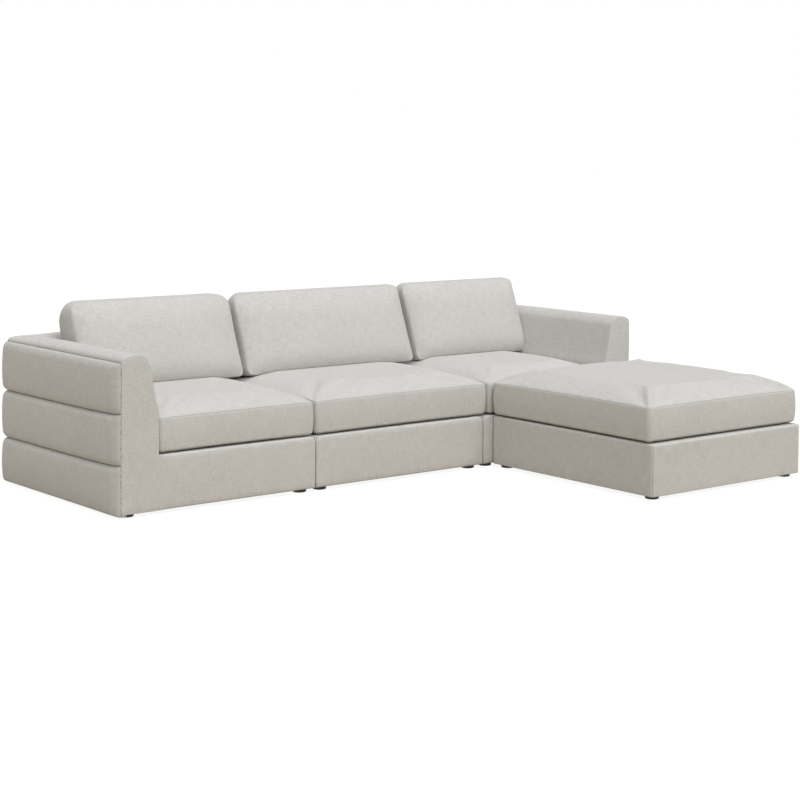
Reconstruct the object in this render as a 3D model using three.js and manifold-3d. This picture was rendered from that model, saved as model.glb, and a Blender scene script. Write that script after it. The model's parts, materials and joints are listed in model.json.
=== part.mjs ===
// A low modular sofa: a left corner unit, an armless unit and a right corner unit, locked side by side,
// with a loose ottoman in front of the right unit that makes the chaise. Every unit is built as it is
// upholstered: a timber frame, webbing and a deck pad, a front cover, three padded rolls round the
// outside, an inner cover that caps the arm and the back, loose seat and back cushions, a dust cover
// and four low feet. Millimetres, +Z up, the front faces -Y, the origin is under the middle.
import * as THREE from "three";
import { mergeVertices } from "three/addons/utils/BufferGeometryUtils.js";
import Module from "manifold-3d";

const wasm = await Module();
wasm.setup();

// Driving sizes of the sofa
const unitWidth = 887;
const unitGap = 3;
const unitDepth = 930;
const footHeight = 15;
const baseTop = 222;
const seamHeight = 576;
const capHeight = 607;
const ottomanWidth = 899;
const ottomanLength = 939;
const ottomanGap = 3;
const ottomanShift = 44;

// Clearances: fit lies between pieces that touch, overrun takes a cut past a face
const fit = 0.3;
const overrun = 5;

// Corners are set to this step before a boolean, so that faces in one plane stay in it
const cornerStep = 1 / 1024;

// Covers and the padded rolls
const panelThick = 14;
const sidePanelThick = 10;
const sideSetBack = 1;
const coverCorner = 12;
const coverEdge = 5;
const rollCount = 3;
const rollDepth = 24;
const rollBulge = 21;
const rollGroove = 7;
const rollSquareness = 4;
const rollCornerRadius = 22;
const rollEndTaper = 70;
const rollEndShare = 0.15;
const taperShares = [0, 0.2, 0.5, 1];
const innerCornerRadius = 14;

// Arm and back section: the wall is even up to its knee and narrows from there to its top edge
const wallTopWidth = 119;
const wallTopEdge = 566;
const wallKnee = 374;
const wallSeatWidth = 160;
const padThick = 28;

// Timber frame: boards on edge, blocks and posts let into them, top rails and a thin outer board
const boardThick = 22;
const railTop = 190;
const topRailHeight = 36;
const topRailWidth = 62;
const postSize = 44;
const postInset = 12;
const blockSize = 62;
const blockHeight = 44;
const blockLift = 3;
const slatWidth = 60;
const slatHeight = 24;
const slatLift = 5;
const timberLap = 8;
const skinThick = 8;
const skinInset = 1;

// Webbing, deck pad and dust cover
const strapThick = 2.6;
const strapWidth = 50;
const strapsAcross = 4;
const strapsAlong = 4;
const dustThick = 1.5;

// Feet and their studs
const footRadius = 28;
const footSoleRadius = 25;
const footSoleEdge = 3;
const footInset = 48;
const studRadius = 4;
const studLength = 32;
const studClearance = 0.6;
const roundSteps = 16;

// Slip-in connector under each joint between units
const connectorWidth = 80;
const connectorReach = 62;
const connectorWall = 2;
const tongueWidth = 44;
const tongueThick = 3;
const tongueReach = 40;

// Seat cushions: two crowned panels sewn to a straight border. The middle one lies a little over to the
// right, and the ottoman's laps over the edge of its base.
const seatFrontInset = 6;
const seatSideGap = 3;
const middleSeatLap = 30;
const ottomanSeatInset = 13;
const ottomanSeatLap = 7;
const ottomanSeatClear = 1;
const seatLowerSeam = 248;
const seatUpperSeam = 371;
const seatCrown = 42;
const ottomanCrown = 54;
const seatBorderBulge = 4;
const seatCorner = 20;
const seatWaist = 4;

// Back cushions stand on the seat and lean back. Their foot is above the seat's upper seam, and their
// own seams lie this far in from the outside of the sofa's back. The cushions have been pushed over to
// the right, so their ends lap past the ends of their units, as far as the next seat, which still lifts.
const backFootAbove = 31;
const backHeight = 334;
const backFrontFoot = 372;
const backFrontTop = 240;
const backRearFoot = 214;
const backRearTop = 142;
const backFrontCrown = 66;
const backRearCrown = 48;
const backBorderBulge = 4;
const backCorner = 50;
const backWaist = 4;
const leftBackLap = 2;
const middleBackLap = 31;
const backGap = 5;
const rightBackInset = 148;

const fabric = new THREE.MeshStandardMaterial({ color: 0xcdc7be, roughness: 0.95, metalness: 0 });
const timber = new THREE.MeshStandardMaterial({ color: 0xc9a878, roughness: 0.8, metalness: 0 });
const strapping = new THREE.MeshStandardMaterial({ color: 0x4a4a48, roughness: 0.9, metalness: 0 });
const dustCloth = new THREE.MeshStandardMaterial({ color: 0x232323, roughness: 1, metalness: 0 });
const plastic = new THREE.MeshStandardMaterial({ color: 0x1a1a1b, roughness: 0.6, metalness: 0 });
const steel = new THREE.MeshStandardMaterial({ color: 0x8f9092, roughness: 0.45, metalness: 1 });

// Heights that follow from the sizes above
const dustTop = footHeight + dustThick;
const frameBottom = dustTop + fit;
const strapBottom = railTop + fit;
const deckBottom = strapBottom + strapThick + fit;
const cushionBottom = baseTop + fit;
const backFoot = seatUpperSeam + backFootAbove;
const footTop = footHeight - fit;
const studTop = footTop + studLength;
const rollHeight = (seamHeight - footHeight) / rollCount;
const pitch = unitWidth + unitGap;
const frameOutset = rollDepth + fit;
const frameTop = seamHeight - fit - coverEdge;
const wallSlope = (wallSeatWidth - wallTopWidth) / (wallTopEdge - wallKnee);

// How far the inside face of an arm or of the back stands in from its outside, at a height
const wallWidthAt = (z) => wallTopWidth + wallSlope * (wallTopEdge - Math.max(z, wallKnee));
const seatRailOutset = wallWidthAt(deckBottom) - padThick - boardThick;

// Closed skins and booleans

function toSolid(geometry) {
  const bare = geometry.clone();
  bare.deleteAttribute("normal");
  bare.deleteAttribute("uv");
  const corners = bare.attributes.position;
  corners.array.forEach((place, i) => {
    corners.array[i] = Math.round(place / cornerStep) * cornerStep;
  });
  const merged = mergeVertices(bare, cornerStep / 2);
  return new wasm.Manifold(
    new wasm.Mesh({
      numProp: 3,
      vertProperties: merged.attributes.position.array,
      triVerts: new Uint32Array(merged.index.array),
    }),
  );
}

function toGeometry(solid) {
  const made = solid.getMesh();
  const geometry = new THREE.BufferGeometry();
  geometry.setAttribute("position", new THREE.BufferAttribute(new Float32Array(made.vertProperties), 3));
  geometry.setIndex(new THREE.BufferAttribute(new Uint32Array(made.triVerts), 1));
  geometry.computeVertexNormals();
  return geometry;
}

function boxSolid([x0, x1], [y0, y1], [z0, z1]) {
  const geometry = new THREE.BoxGeometry(x1 - x0, y1 - y0, z1 - z0);
  geometry.translate((x0 + x1) / 2, (y0 + y1) / 2, (z0 + z1) / 2);
  return toSolid(geometry);
}

function pillarSolid(radius, x, y, [z0, z1]) {
  const geometry = new THREE.CylinderGeometry(radius, radius, z1 - z0, roundSteps);
  geometry.rotateX(Math.PI / 2);
  geometry.translate(x, y, (z0 + z1) / 2);
  return toSolid(geometry);
}

// An upright plate over an outline drawn from above
function plateSolid(outline, [z0, z1]) {
  const shape = new THREE.Shape(outline.map(([x, y]) => new THREE.Vector2(x, y)));
  const geometry = new THREE.ExtrudeGeometry(shape, { depth: z1 - z0, bevelEnabled: false });
  geometry.translate(0, 0, z0);
  return toSolid(geometry);
}

// A rectangle seen from above, whose rear left corner may be cut back by a leg
function rectangle([x0, x1], [y0, y1], leg = 0) {
  const rear = leg > 0 ? [[x0 + leg, y1], [x0, y1 - leg]] : [[x0, y1]];
  return [[x0, y0], [x1, y0], [x1, y1], ...rear];
}

// The band between two insets along the left and rear sides of a rectangle. Its outer corner is cut
// back by a leg, and its inner corner by what keeps the band even, as far as there is any.
function angleBand([x0, x1], [y0, y1], [outer, inner], leg) {
  const innerLeg = leg - (inner - outer) * (2 - Math.SQRT2);
  const turn = [
    [x0 + inner, y1 - inner - innerLeg],
    [x0 + inner + innerLeg, y1 - inner],
  ];
  return [
    [x0 + outer, y0],
    [x0 + inner, y0],
    ...(innerLeg > 0 ? turn : [[x0 + inner, y1 - inner]]),
    [x1, y1 - inner],
    [x1, y1 - outer],
    [x0 + outer + leg, y1 - outer],
    [x0 + outer, y1 - outer - leg],
  ];
}

const joined = (solids) => solids.reduce((sum, solid) => sum.add(solid));

// A skin over points and triangles, turned so that its faces point out
function skin(points, triangles) {
  let volume = 0;
  const [a, b, c] = [new THREE.Vector3(), new THREE.Vector3(), new THREE.Vector3()];
  for (const [i, j, k] of triangles) {
    a.fromArray(points[i]);
    b.fromArray(points[j]);
    c.fromArray(points[k]);
    volume += a.dot(b.cross(c));
  }
  const index = triangles.flatMap(([i, j, k]) => (volume < 0 ? [i, k, j] : [i, j, k]));
  const geometry = new THREE.BufferGeometry();
  geometry.setAttribute("position", new THREE.Float32BufferAttribute(points.flat(), 3));
  geometry.setIndex(index);
  geometry.computeVertexNormals();
  return geometry;
}

// Triangles between rings that hold the same number of points
function bands(ringCount, ringSize) {
  const triangles = [];
  for (let r = 0; r + 1 < ringCount; r++) {
    for (let i = 0; i < ringSize; i++) {
      const here = r * ringSize + i;
      const next = r * ringSize + ((i + 1) % ringSize);
      triangles.push([here, next, next + ringSize], [here, next + ringSize, here + ringSize]);
    }
  }
  return triangles;
}

// A section carried through stations, each a function from a section point to a place, with flat ends
function sweep(section, stations) {
  const contour = section.map(([u, z]) => new THREE.Vector2(u, z));
  if (THREE.ShapeUtils.isClockWise(contour)) {
    return sweep([...section].reverse(), stations);
  }
  const rings = stations.map((place) => section.map(place));
  const last = (rings.length - 1) * section.length;
  const cap = THREE.ShapeUtils.triangulateShape(contour, []);
  const ends = cap.flatMap(([i, j, k]) => [
    [i, k, j],
    [last + i, last + j, last + k],
  ]);
  return skin(rings.flat(), [...bands(rings.length, section.length), ...ends]);
}

function mirrored(geometry, middle) {
  const copy = geometry.clone();
  const place = copy.attributes.position;
  for (let i = 0; i < place.count; i++) {
    place.setX(i, 2 * middle - place.getX(i));
  }
  const index = copy.index.array;
  for (let i = 0; i < index.length; i += 3) {
    [index[i + 1], index[i + 2]] = [index[i + 2], index[i + 1]];
  }
  copy.computeVertexNormals();
  return copy;
}

// The wall of a corner unit, seen from above: along the arm, round the rear corner and along the back.
// A section point stands u in from the outside; the corner is round outside and eased inside.

const cornerSteps = 5;

function cornerPlace(u, share) {
  const radius = Math.max(rollCornerRadius - u, innerCornerRadius);
  const angle = (share * Math.PI) / 2;
  return [u + radius - radius * Math.cos(angle), unitDepth - u - radius + radius * Math.sin(angle)];
}

function wallStations(frontEnd, farEnd, shape) {
  const arm = (y) => ([u, z]) => [shape(u, z, y - frontEnd), y, z];
  const back = (x) => ([u, z]) => [x, unitDepth - shape(u, z, farEnd - x), z];
  const taper = taperShares.map((share) => share * rollEndTaper);
  const corner = Array.from({ length: cornerSteps + 1 }, (_, i) => ([u, z]) => [
    ...cornerPlace(shape(u, z, rollEndTaper), i / cornerSteps),
    z,
  ]);
  return [
    ...taper.map((step) => arm(frontEnd + step)),
    ...corner,
    ...taper.reverse().map((step) => back(farEnd - step)),
  ];
}

// Padded rolls

// The roll's section: flat behind, a squared-off swell outside that draws in to the grooves
const rollSteps = 10;

function rollSection(level) {
  const half = rollHeight / 2 - fit / 2;
  const middle = footHeight + rollHeight * (level + 1 / 2);
  const points = [];
  for (let i = 0; i <= rollSteps; i++) {
    const angle = Math.PI * (i / rollSteps - 1 / 2);
    const rise = Math.sign(angle) * Math.abs(Math.sin(angle)) ** (2 / rollSquareness);
    const swell = Math.abs(Math.cos(angle)) ** (2 / rollSquareness);
    points.push([rollGroove - (rollGroove + rollBulge) * swell, middle + half * rise]);
  }
  return [...points, [rollDepth, middle + half], [rollDepth, middle - half]];
}

// The swell fades where a roll is sewn to a cover panel, down to a share of it at the seam
function rollShape(u, z, fromEnd) {
  const grown = Math.sin((Math.min(fromEnd / rollEndTaper, 1) * Math.PI) / 2);
  return u < 0 ? u * (rollEndShare + (1 - rollEndShare) * grown) : u;
}

function cornerRoll(level) {
  const ends = [panelThick + fit, unitWidth - sidePanelThick - fit];
  return sweep(rollSection(level), wallStations(...ends, rollShape));
}

function straightRoll(level) {
  const ends = [sidePanelThick + fit, unitWidth - sidePanelThick - fit];
  const steps = taperShares.map((share) => share * rollEndTaper);
  const places = [...steps.map((s) => ends[0] + s), ...steps.reverse().map((s) => ends[1] - s)];
  const stations = places.map((x) => ([u, z]) => [
    x,
    unitDepth - rollShape(u, z, Math.min(x - ends[0], ends[1] - x)),
    z,
  ]);
  return sweep(rollSection(level), stations);
}

// Inner cover: the soft cap of the arm and back, and their inside faces

// The cap's outline from the outer seam over the top to the inside face, as shares of its own box
const capShares = [
  [0, 0],
  [0.16, 0.42],
  [0.33, 0.74],
  [0.49, 0.95],
  [0.63, 1],
  [0.79, 0.76],
  [0.94, 0.2],
];

function wallOutline(foot) {
  const rise = capHeight - seamHeight;
  const cap = capShares.map(([u, z]) => [u * wallTopWidth, seamHeight + z * rise]);
  return [...cap, [wallTopWidth, wallTopEdge], [wallSeatWidth, wallKnee], [wallWidthAt(foot), foot]];
}

function innerSection() {
  const inside = frameOutset + topRailWidth + fit;
  return [
    ...wallOutline(deckBottom).map(([u, z]) => [u, z === seamHeight ? z + fit : z]),
    [inside, deckBottom],
    [inside, frameTop + fit],
    [frameOutset, frameTop + fit],
    [frameOutset, seamHeight + fit],
  ];
}

const innerShape = (u) => u;

function cornerInnerCover() {
  const stations = wallStations(panelThick + fit, unitWidth - sidePanelThick - fit, innerShape);
  const [first, last] = [stations[0], stations[stations.length - 1]];
  const bend = stations.slice(taperShares.length, -taperShares.length);
  return sweep(innerSection(), [first, ...bend, last]);
}

function straightInnerCover() {
  const stations = [sidePanelThick + fit, unitWidth - sidePanelThick - fit].map(
    (x) => ([u, z]) => [x, unitDepth - u, z],
  );
  return sweep(innerSection(), stations);
}

// Covers: the front panel, and the side panels where units meet

function slab(outline, thick, edge) {
  const shape = new THREE.Shape(outline.map(([a, b]) => new THREE.Vector2(a, b)));
  return new THREE.ExtrudeGeometry(shape, {
    depth: thick - 2 * edge,
    bevelEnabled: true,
    bevelThickness: edge,
    bevelSize: edge,
    bevelOffset: -edge,
    bevelSegments: 2,
    curveSegments: 1,
  });
}

// A slab whose outline is drawn across the front, its face at y = 0
function frontSlab(outline) {
  const geometry = slab(outline, panelThick, coverEdge / 2);
  geometry.rotateX(Math.PI / 2);
  geometry.translate(0, panelThick - coverEdge / 2, 0);
  return toSolid(geometry);
}

// A side panel starts inside the front panel, a little back from its edges; its near face is at x
function sidePanel(x) {
  const [start, foot, top] = [panelThick / 2, footHeight + sideSetBack, baseTop - sideSetBack];
  const back = wallOutline(top).map(([u, z]) => [unitDepth - u, z]);
  const outline = [[start, foot], [unitDepth, foot], ...back, [start, top]];
  const shape = new THREE.Shape(outline.map(([y, z]) => new THREE.Vector2(y, z)));
  const depth = sidePanelThick - sideSetBack;
  const geometry = new THREE.ExtrudeGeometry(shape, { depth, bevelEnabled: false });
  geometry.rotateX(Math.PI / 2);
  geometry.rotateZ(Math.PI / 2);
  geometry.translate(x, 0, 0);
  return toSolid(geometry);
}

function cornerFrontCover() {
  const arm = wallOutline(baseTop);
  const front = [[0, footHeight], ...arm, [unitWidth, baseTop], [unitWidth, footHeight]];
  return toGeometry(frontSlab(front).add(sidePanel(unitWidth - sidePanelThick)));
}

function straightFrontCover() {
  const front = [
    [0, footHeight],
    [0, baseTop],
    [unitWidth, baseTop],
    [unitWidth, footHeight],
  ];
  const sides = [sideSetBack, unitWidth - sidePanelThick].map(sidePanel);
  return toGeometry(joined([frontSlab(front), ...sides]));
}

// Timber frames

const unitFeet = [footInset, unitWidth - footInset].flatMap((x) =>
  [footInset, unitDepth - footInset].map((y) => [x, y]),
);
const cornerFrameX = [frameOutset, unitWidth - sidePanelThick - fit];
const straightFrameX = [sidePanelThick + fit, unitWidth - sidePanelThick - fit];
const unitFrameY = [panelThick + fit, unitDepth - frameOutset];
const seatRail = unitDepth - seatRailOutset;

// The rolls turn round the frame's outside rear corner, so it is planed off by this leg
const cornerLeg = Math.max(rollCornerRadius - rollDepth, innerCornerRadius) + fit;

// The boards on edge are one plate with openings between them
function railSolid(outline, openings) {
  const through = [frameBottom - overrun, railTop + overrun];
  const cutters = openings.map((opening) => plateSolid(opening, through));
  return plateSolid(outline, [frameBottom, railTop]).subtract(joined(cutters));
}

// Blocks that take the feet, let into the corners of the boards
function blockSolids([x0, x1], [y0, y1]) {
  const [near, far] = [boardThick - timberLap, blockSize];
  const height = [frameBottom + blockLift, frameBottom + blockLift + blockHeight];
  return [
    [x0 + near, x0 + far],
    [x1 - far, x1 - near],
  ].flatMap((x) =>
    [
      [y0 + near, y0 + far],
      [y1 - far, y1 - near],
    ].map((y) => boxSolid(x, y, height)),
  );
}

// A slat from the front board to the rear board that keeps them apart
function slatSolid([x0, x1], [y0, y1]) {
  const middle = (x0 + x1) / 2;
  return boxSolid(
    [middle - slatWidth / 2, middle + slatWidth / 2],
    [y0 + boardThick - timberLap, y1 - boardThick + timberLap],
    [frameBottom + slatLift, frameBottom + slatLift + slatHeight],
  );
}

// A post from inside a corner block up into the top rail, its near corner at x and y
function postSolid(x, y) {
  const foot = frameBottom + blockLift + blockHeight - timberLap;
  return boxSolid([x, x + postSize], [y, y + postSize], [foot, frameTop - topRailHeight + timberLap]);
}

function footBores(feet) {
  const bore = [frameBottom - overrun, studTop + studClearance];
  return feet.map(([x, y]) => pillarSolid(studRadius + studClearance, x, y, bore));
}

function cut(parts, holes) {
  return toGeometry(joined(parts).subtract(joined(holes)));
}

const topRailSpan = [frameTop - topRailHeight, frameTop];
const skinSpan = [railTop - timberLap, frameTop - topRailHeight + timberLap];
const postFar = postInset + postSize;

function cornerFrame() {
  const [x, y] = [cornerFrameX, unitFrameY];
  const [[x0, x1], [y0, y1]] = [x, y];
  const thick = boardThick;
  const gap = [
    [x0 + thick, y0 + thick],
    [seatRailOutset, y0 + thick],
    [seatRailOutset, seatRail],
    [x1 - thick, seatRail],
    [x1 - thick, y1 - thick],
    [x0 + thick, y1 - thick],
  ];
  const seat = rectangle(
    [seatRailOutset + thick, x1 - thick],
    [y0 + thick, seatRail - thick],
  );
  const parts = [
    railSolid(rectangle(x, y, cornerLeg), [gap, seat]),
    ...blockSolids(x, y),
    slatSolid(x, y),
    postSolid(x0 + postInset, y0 + postInset),
    postSolid(x0 + postInset, y1 - postFar),
    postSolid(x1 - postFar, y1 - postFar),
    plateSolid(angleBand(x, y, [0, topRailWidth], cornerLeg), topRailSpan),
    plateSolid(angleBand(x, y, [skinInset, skinInset + skinThick], cornerLeg), skinSpan),
  ];
  return cut(parts, footBores(unitFeet));
}

function straightFrame() {
  const [x, y] = [straightFrameX, unitFrameY];
  const [[x0, x1], [y0, y1]] = [x, y];
  const inside = [x0 + boardThick, x1 - boardThick];
  const parts = [
    railSolid(rectangle(x, y), [
      rectangle(inside, [seatRail, y1 - boardThick]),
      rectangle(inside, [y0 + boardThick, seatRail - boardThick]),
    ]),
    ...blockSolids(x, y),
    slatSolid(x, y),
    postSolid(x0 + postInset, y1 - postFar),
    postSolid(x1 - postFar, y1 - postFar),
    boxSolid(x, [y1 - topRailWidth, y1], topRailSpan),
    boxSolid(x, [y1 - skinInset - skinThick, y1 - skinInset], skinSpan),
  ];
  return cut(parts, footBores(unitFeet));
}

function ottomanFrame([x0, x1], [y0, y1], feet) {
  const opening = rectangle([x0 + boardThick, x1 - boardThick], [y0 + boardThick, y1 - boardThick]);
  const parts = [
    railSolid(rectangle([x0, x1], [y0, y1]), [opening]),
    ...blockSolids([x0, x1], [y0, y1]),
    slatSolid([x0, x1], [y0, y1]),
  ];
  return cut(parts, footBores(feet));
}

// The edges of straps spread evenly over a span, with the ends of the span
function strapEdges(count, [start, end]) {
  const edges = [start];
  for (let i = 0; i < count; i++) {
    const middle = start + ((end - start) * (i + 1 / 2)) / count;
    edges.push(middle - strapWidth / 2, middle + strapWidth / 2);
  }
  return [...edges, end];
}

// Webbing: straps both ways over the rails, as one net. Between their edges lie cells, open where
// neither way has a strap; every second cell of a row or a column is a strap.
function webbing(spanAcross, spanAlong) {
  const xs = strapEdges(strapsAlong, spanAcross);
  const ys = strapEdges(strapsAcross, spanAlong);
  const filled = (i, j) => {
    const inside = i >= 0 && j >= 0 && i + 1 < xs.length && j + 1 < ys.length;
    return inside && (i % 2 === 1 || j % 2 === 1);
  };
  const layer = xs.length * ys.length;
  const at = (i, j, level) => level * layer + j * xs.length + i;
  const points = [strapBottom, strapBottom + strapThick].flatMap((z) =>
    ys.flatMap((y) => xs.map((x) => [x, y, z])),
  );
  const triangles = [];
  const quad = (a, b, c, d) => triangles.push([a, b, c], [a, c, d]);
  const wall = (i, j, k, l) => quad(at(i, j, 0), at(k, l, 0), at(k, l, 1), at(i, j, 1));
  for (let i = 0; i + 1 < xs.length; i++) {
    for (let j = 0; j + 1 < ys.length; j++) {
      if (!filled(i, j)) continue;
      quad(at(i, j, 1), at(i + 1, j, 1), at(i + 1, j + 1, 1), at(i, j + 1, 1));
      quad(at(i, j, 0), at(i, j + 1, 0), at(i + 1, j + 1, 0), at(i + 1, j, 0));
      if (!filled(i, j - 1)) wall(i, j, i + 1, j);
      if (!filled(i + 1, j)) wall(i + 1, j, i + 1, j + 1);
      if (!filled(i, j + 1)) wall(i + 1, j + 1, i, j + 1);
      if (!filled(i - 1, j)) wall(i, j + 1, i, j);
    }
  }
  return toGeometry(toSolid(skin(points, triangles)));
}

// The pad's rear left corner is cut back by a leg where the inner cover turns
function deckPad(x, y, leg = 0) {
  return toGeometry(plateSolid(rectangle(x, y, leg), [deckBottom, baseTop]));
}

function dustCover(x, y, feet, leg = 0) {
  const sheet = plateSolid(rectangle(x, y, leg), [footHeight, dustTop]);
  const holes = feet.map(([footX, footY]) =>
    pillarSolid(studRadius + studClearance, footX, footY, [footHeight - overrun, dustTop + overrun]),
  );
  return toGeometry(sheet.subtract(joined(holes)));
}

function foot([x, y]) {
  const profile = [
    [0, 0],
    [footSoleRadius, 0],
    [footRadius, footSoleEdge],
    [footRadius, footTop],
    [studRadius, footTop],
    [studRadius, studTop],
    [0, studTop],
  ];
  const points = profile.map(([r, z]) => new THREE.Vector2(r, z));
  const geometry = new THREE.LatheGeometry(points, roundSteps);
  geometry.rotateX(Math.PI / 2);
  geometry.translate(x, y, 0);
  return toGeometry(toSolid(geometry));
}

// Slip-in connector: a flat tongue on one unit, a sleeve on its neighbour

const connectorTop = footHeight - fit;
const sleeveRoof = connectorTop - connectorWall;
const tongueTop = sleeveRoof - fit;
const tongueBottom = tongueTop - tongueThick;
const sleeveFloor = tongueBottom - fit;
const connectorY = unitDepth / 2;
const acrossConnector = (width) => [connectorY - width / 2, connectorY + width / 2];

// The joint's gap starts at x; the tongue's plate lies on the left of it, the sleeve on the right
function connectorTongue(x) {
  const plate = boxSolid(
    [x - connectorReach, x],
    acrossConnector(connectorWidth),
    [tongueBottom, connectorTop],
  );
  const tongue = boxSolid(
    [x - overrun, x + unitGap + tongueReach],
    acrossConnector(tongueWidth),
    [tongueBottom, tongueTop],
  );
  return toGeometry(plate.add(tongue));
}

function connectorSleeve(x) {
  const start = x + unitGap;
  const block = boxSolid(
    [start, start + connectorReach],
    acrossConnector(connectorWidth),
    [sleeveFloor - connectorWall, connectorTop],
  );
  const slot = boxSolid(
    [start - overrun, start + tongueReach + fit],
    acrossConnector(tongueWidth + 2 * fit),
    [sleeveFloor, sleeveRoof],
  );
  return toGeometry(block.subtract(slot));
}

// Cushions

// A rectangle with round corners and sides that draw in between them, as points round it
const cornerPoints = 3;
const sidePoints = 4;

function softRectangle(halfWidth, halfDepth, corner, waist) {
  const points = [];
  const sides = [
    [1, 1],
    [-1, 1],
    [-1, -1],
    [1, -1],
  ];
  sides.forEach(([sx, sy], quarter) => {
    const middle = [sx * (halfWidth - corner), sy * (halfDepth - corner)];
    for (let i = 0; i <= cornerPoints; i++) {
      const angle = ((quarter + i / cornerPoints) * Math.PI) / 2;
      points.push([middle[0] + corner * Math.cos(angle), middle[1] + corner * Math.sin(angle)]);
    }
    const level = quarter % 2 === 0;
    const reach = level ? halfWidth - corner : halfDepth - corner;
    for (let i = 1; i < sidePoints; i++) {
      const along = 1 - (2 * i) / sidePoints;
      const pull = waist * (1 - along * along);
      points.push(
        level
          ? [sx * reach * along, sy * (halfDepth - pull)]
          : [sx * (halfWidth - pull), sy * reach * along],
      );
    }
  });
  return points;
}

// The rings of a panel: how far in from its seam each lies, as a share of the panel's half size, and
// how far it has swollen there, as a share of the full swell
const crownShares = [
  [0.03, 0.26],
  [0.09, 0.52],
  [0.21, 0.8],
  [0.42, 0.95],
  [0.7, 0.99],
];
const footShares = [
  [0.012, 0.5],
  [0.04, 0.86],
  [0.09, 1],
];

// A cushion as rings from the middle of one panel, over its border, to the middle of the other. The
// rings grow rounder towards the middles. Each point is placed by its level from 0 to 1 and its swell.
function cushion(halfWidth, halfDepth, corner, waist, bulge, place) {
  const rest = Math.min(halfWidth, halfDepth) - corner;
  const ring = (inset, swell, level) => {
    const share = 1 - inset;
    const rounding = (corner + rest * inset) * share;
    const outline = softRectangle(halfWidth * share, halfDepth * share, rounding, waist * share);
    return outline.map(([a, b]) => place(a, b, level, swell));
  };
  const border = softRectangle(halfWidth + bulge, halfDepth + bulge, corner + bulge, waist);
  const rings = [
    ...[...footShares].reverse().map(([inset, swell]) => ring(inset, swell, 0)),
    ring(0, 0, 0),
    border.map(([a, b]) => place(a, b, 1 / 2, 0)),
    ring(0, 0, 1),
    ...crownShares.map(([inset, swell]) => ring(inset, swell, 1)),
  ];
  const size = border.length;
  const points = [...rings.flat(), place(0, 0, 0, 1), place(0, 0, 1, 1)];
  const triangles = bands(rings.length, size);
  const [firstHub, lastHub] = [points.length - 2, points.length - 1];
  const lastRing = (rings.length - 1) * size;
  for (let i = 0; i < size; i++) {
    const next = (i + 1) % size;
    triangles.push([firstHub, next, i], [lastHub, lastRing + i, lastRing + next]);
  }
  return skin(points, triangles);
}

function seatCushion([x0, x1], [y0, y1], crown = seatCrown) {
  const middle = [(x0 + x1) / 2, (y0 + y1) / 2];
  const half = [(x1 - x0) / 2 - seatBorderBulge, (y1 - y0) / 2 - seatBorderBulge];
  const sag = seatLowerSeam - cushionBottom;
  const place = (a, b, level, swell) => {
    const seam = seatLowerSeam + (seatUpperSeam - seatLowerSeam) * level;
    const z = level < 1 / 2 ? seam - sag * swell : seam + crown * swell;
    return [middle[0] + a, middle[1] + b, z];
  };
  return cushion(...half, seatCorner, seatWaist, seatBorderBulge, place);
}

// The wedge stands on the seat cushion, so it is cut to the seat's crown
function backCushion([x0, x1], seat) {
  const middle = (x0 + x1) / 2;
  const half = [(x1 - x0) / 2 - backBorderBulge, backHeight / 2];
  const place = (a, b, level, swell) => {
    const share = b / backHeight + 1 / 2;
    const front = backFrontFoot + (backFrontTop - backFrontFoot) * share;
    const rear = backRearFoot + (backRearTop - backRearFoot) * share;
    const inset = level < 1 / 2 ? rear - backRearCrown * swell : front + backFrontCrown * swell;
    const border = (front + rear) / 2;
    const y = unitDepth - (level === 1 / 2 ? border : inset);
    return [middle + a, y, backFoot + backHeight / 2 + b];
  };
  const shape = toSolid(cushion(...half, backCorner, backWaist, backBorderBulge, place));
  const lifted = seat.clone();
  lifted.translate(0, 0, fit);
  return toGeometry(shape.subtract(toSolid(lifted)));
}

// Units

const sofa = new THREE.Group();
sofa.name = "modular_sofa";

function add(name, geometry, material, x = 0, y = 0) {
  const mesh = new THREE.Mesh(geometry, material);
  mesh.name = name;
  mesh.position.set(x, y, 0);
  sofa.add(mesh);
}

// Places in the sofa's own plan: x from the left arm's seam, y from the front of the units
const ottomanX = 2 * pitch + ottomanShift;
const ottomanFront = -ottomanGap - ottomanLength;
const spanX = [-rollBulge, ottomanX + ottomanWidth];
const spanY = [ottomanFront, unitDepth + rollBulge];
const originX = (spanX[0] + spanX[1]) / 2;
const originY = (spanY[0] + spanY[1]) / 2;

const levelNames = ["lower", "middle", "upper"];
const seatStart = wallWidthAt(baseTop) + seatSideGap;
const seatSpans = {
  left: [seatStart, unitWidth + seatSideGap / 2],
  middle: [seatSideGap / 2, unitWidth + middleSeatLap],
  right: [seatStart, unitWidth + unitGap - middleSeatLap - seatSideGap],
};
const backSpans = {
  left: [seatStart + seatSideGap, unitWidth + leftBackLap],
  middle: [leftBackLap - unitGap + backGap, unitWidth + middleBackLap],
  right: [rightBackInset, unitWidth + unitGap - middleBackLap - backGap],
};
const seatY = [seatFrontInset, unitDepth - wallWidthAt(baseTop) - seatSideGap];
const deckY = [panelThick + fit, unitDepth - wallWidthAt(deckBottom) - fit];
const cornerDeckX = [wallWidthAt(deckBottom) + fit, cornerFrameX[1]];
const webbingY = [unitFrameY[0], seatRail];
const footNames = ["outer_front", "outer_rear", "inner_front", "inner_rear"];

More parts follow.
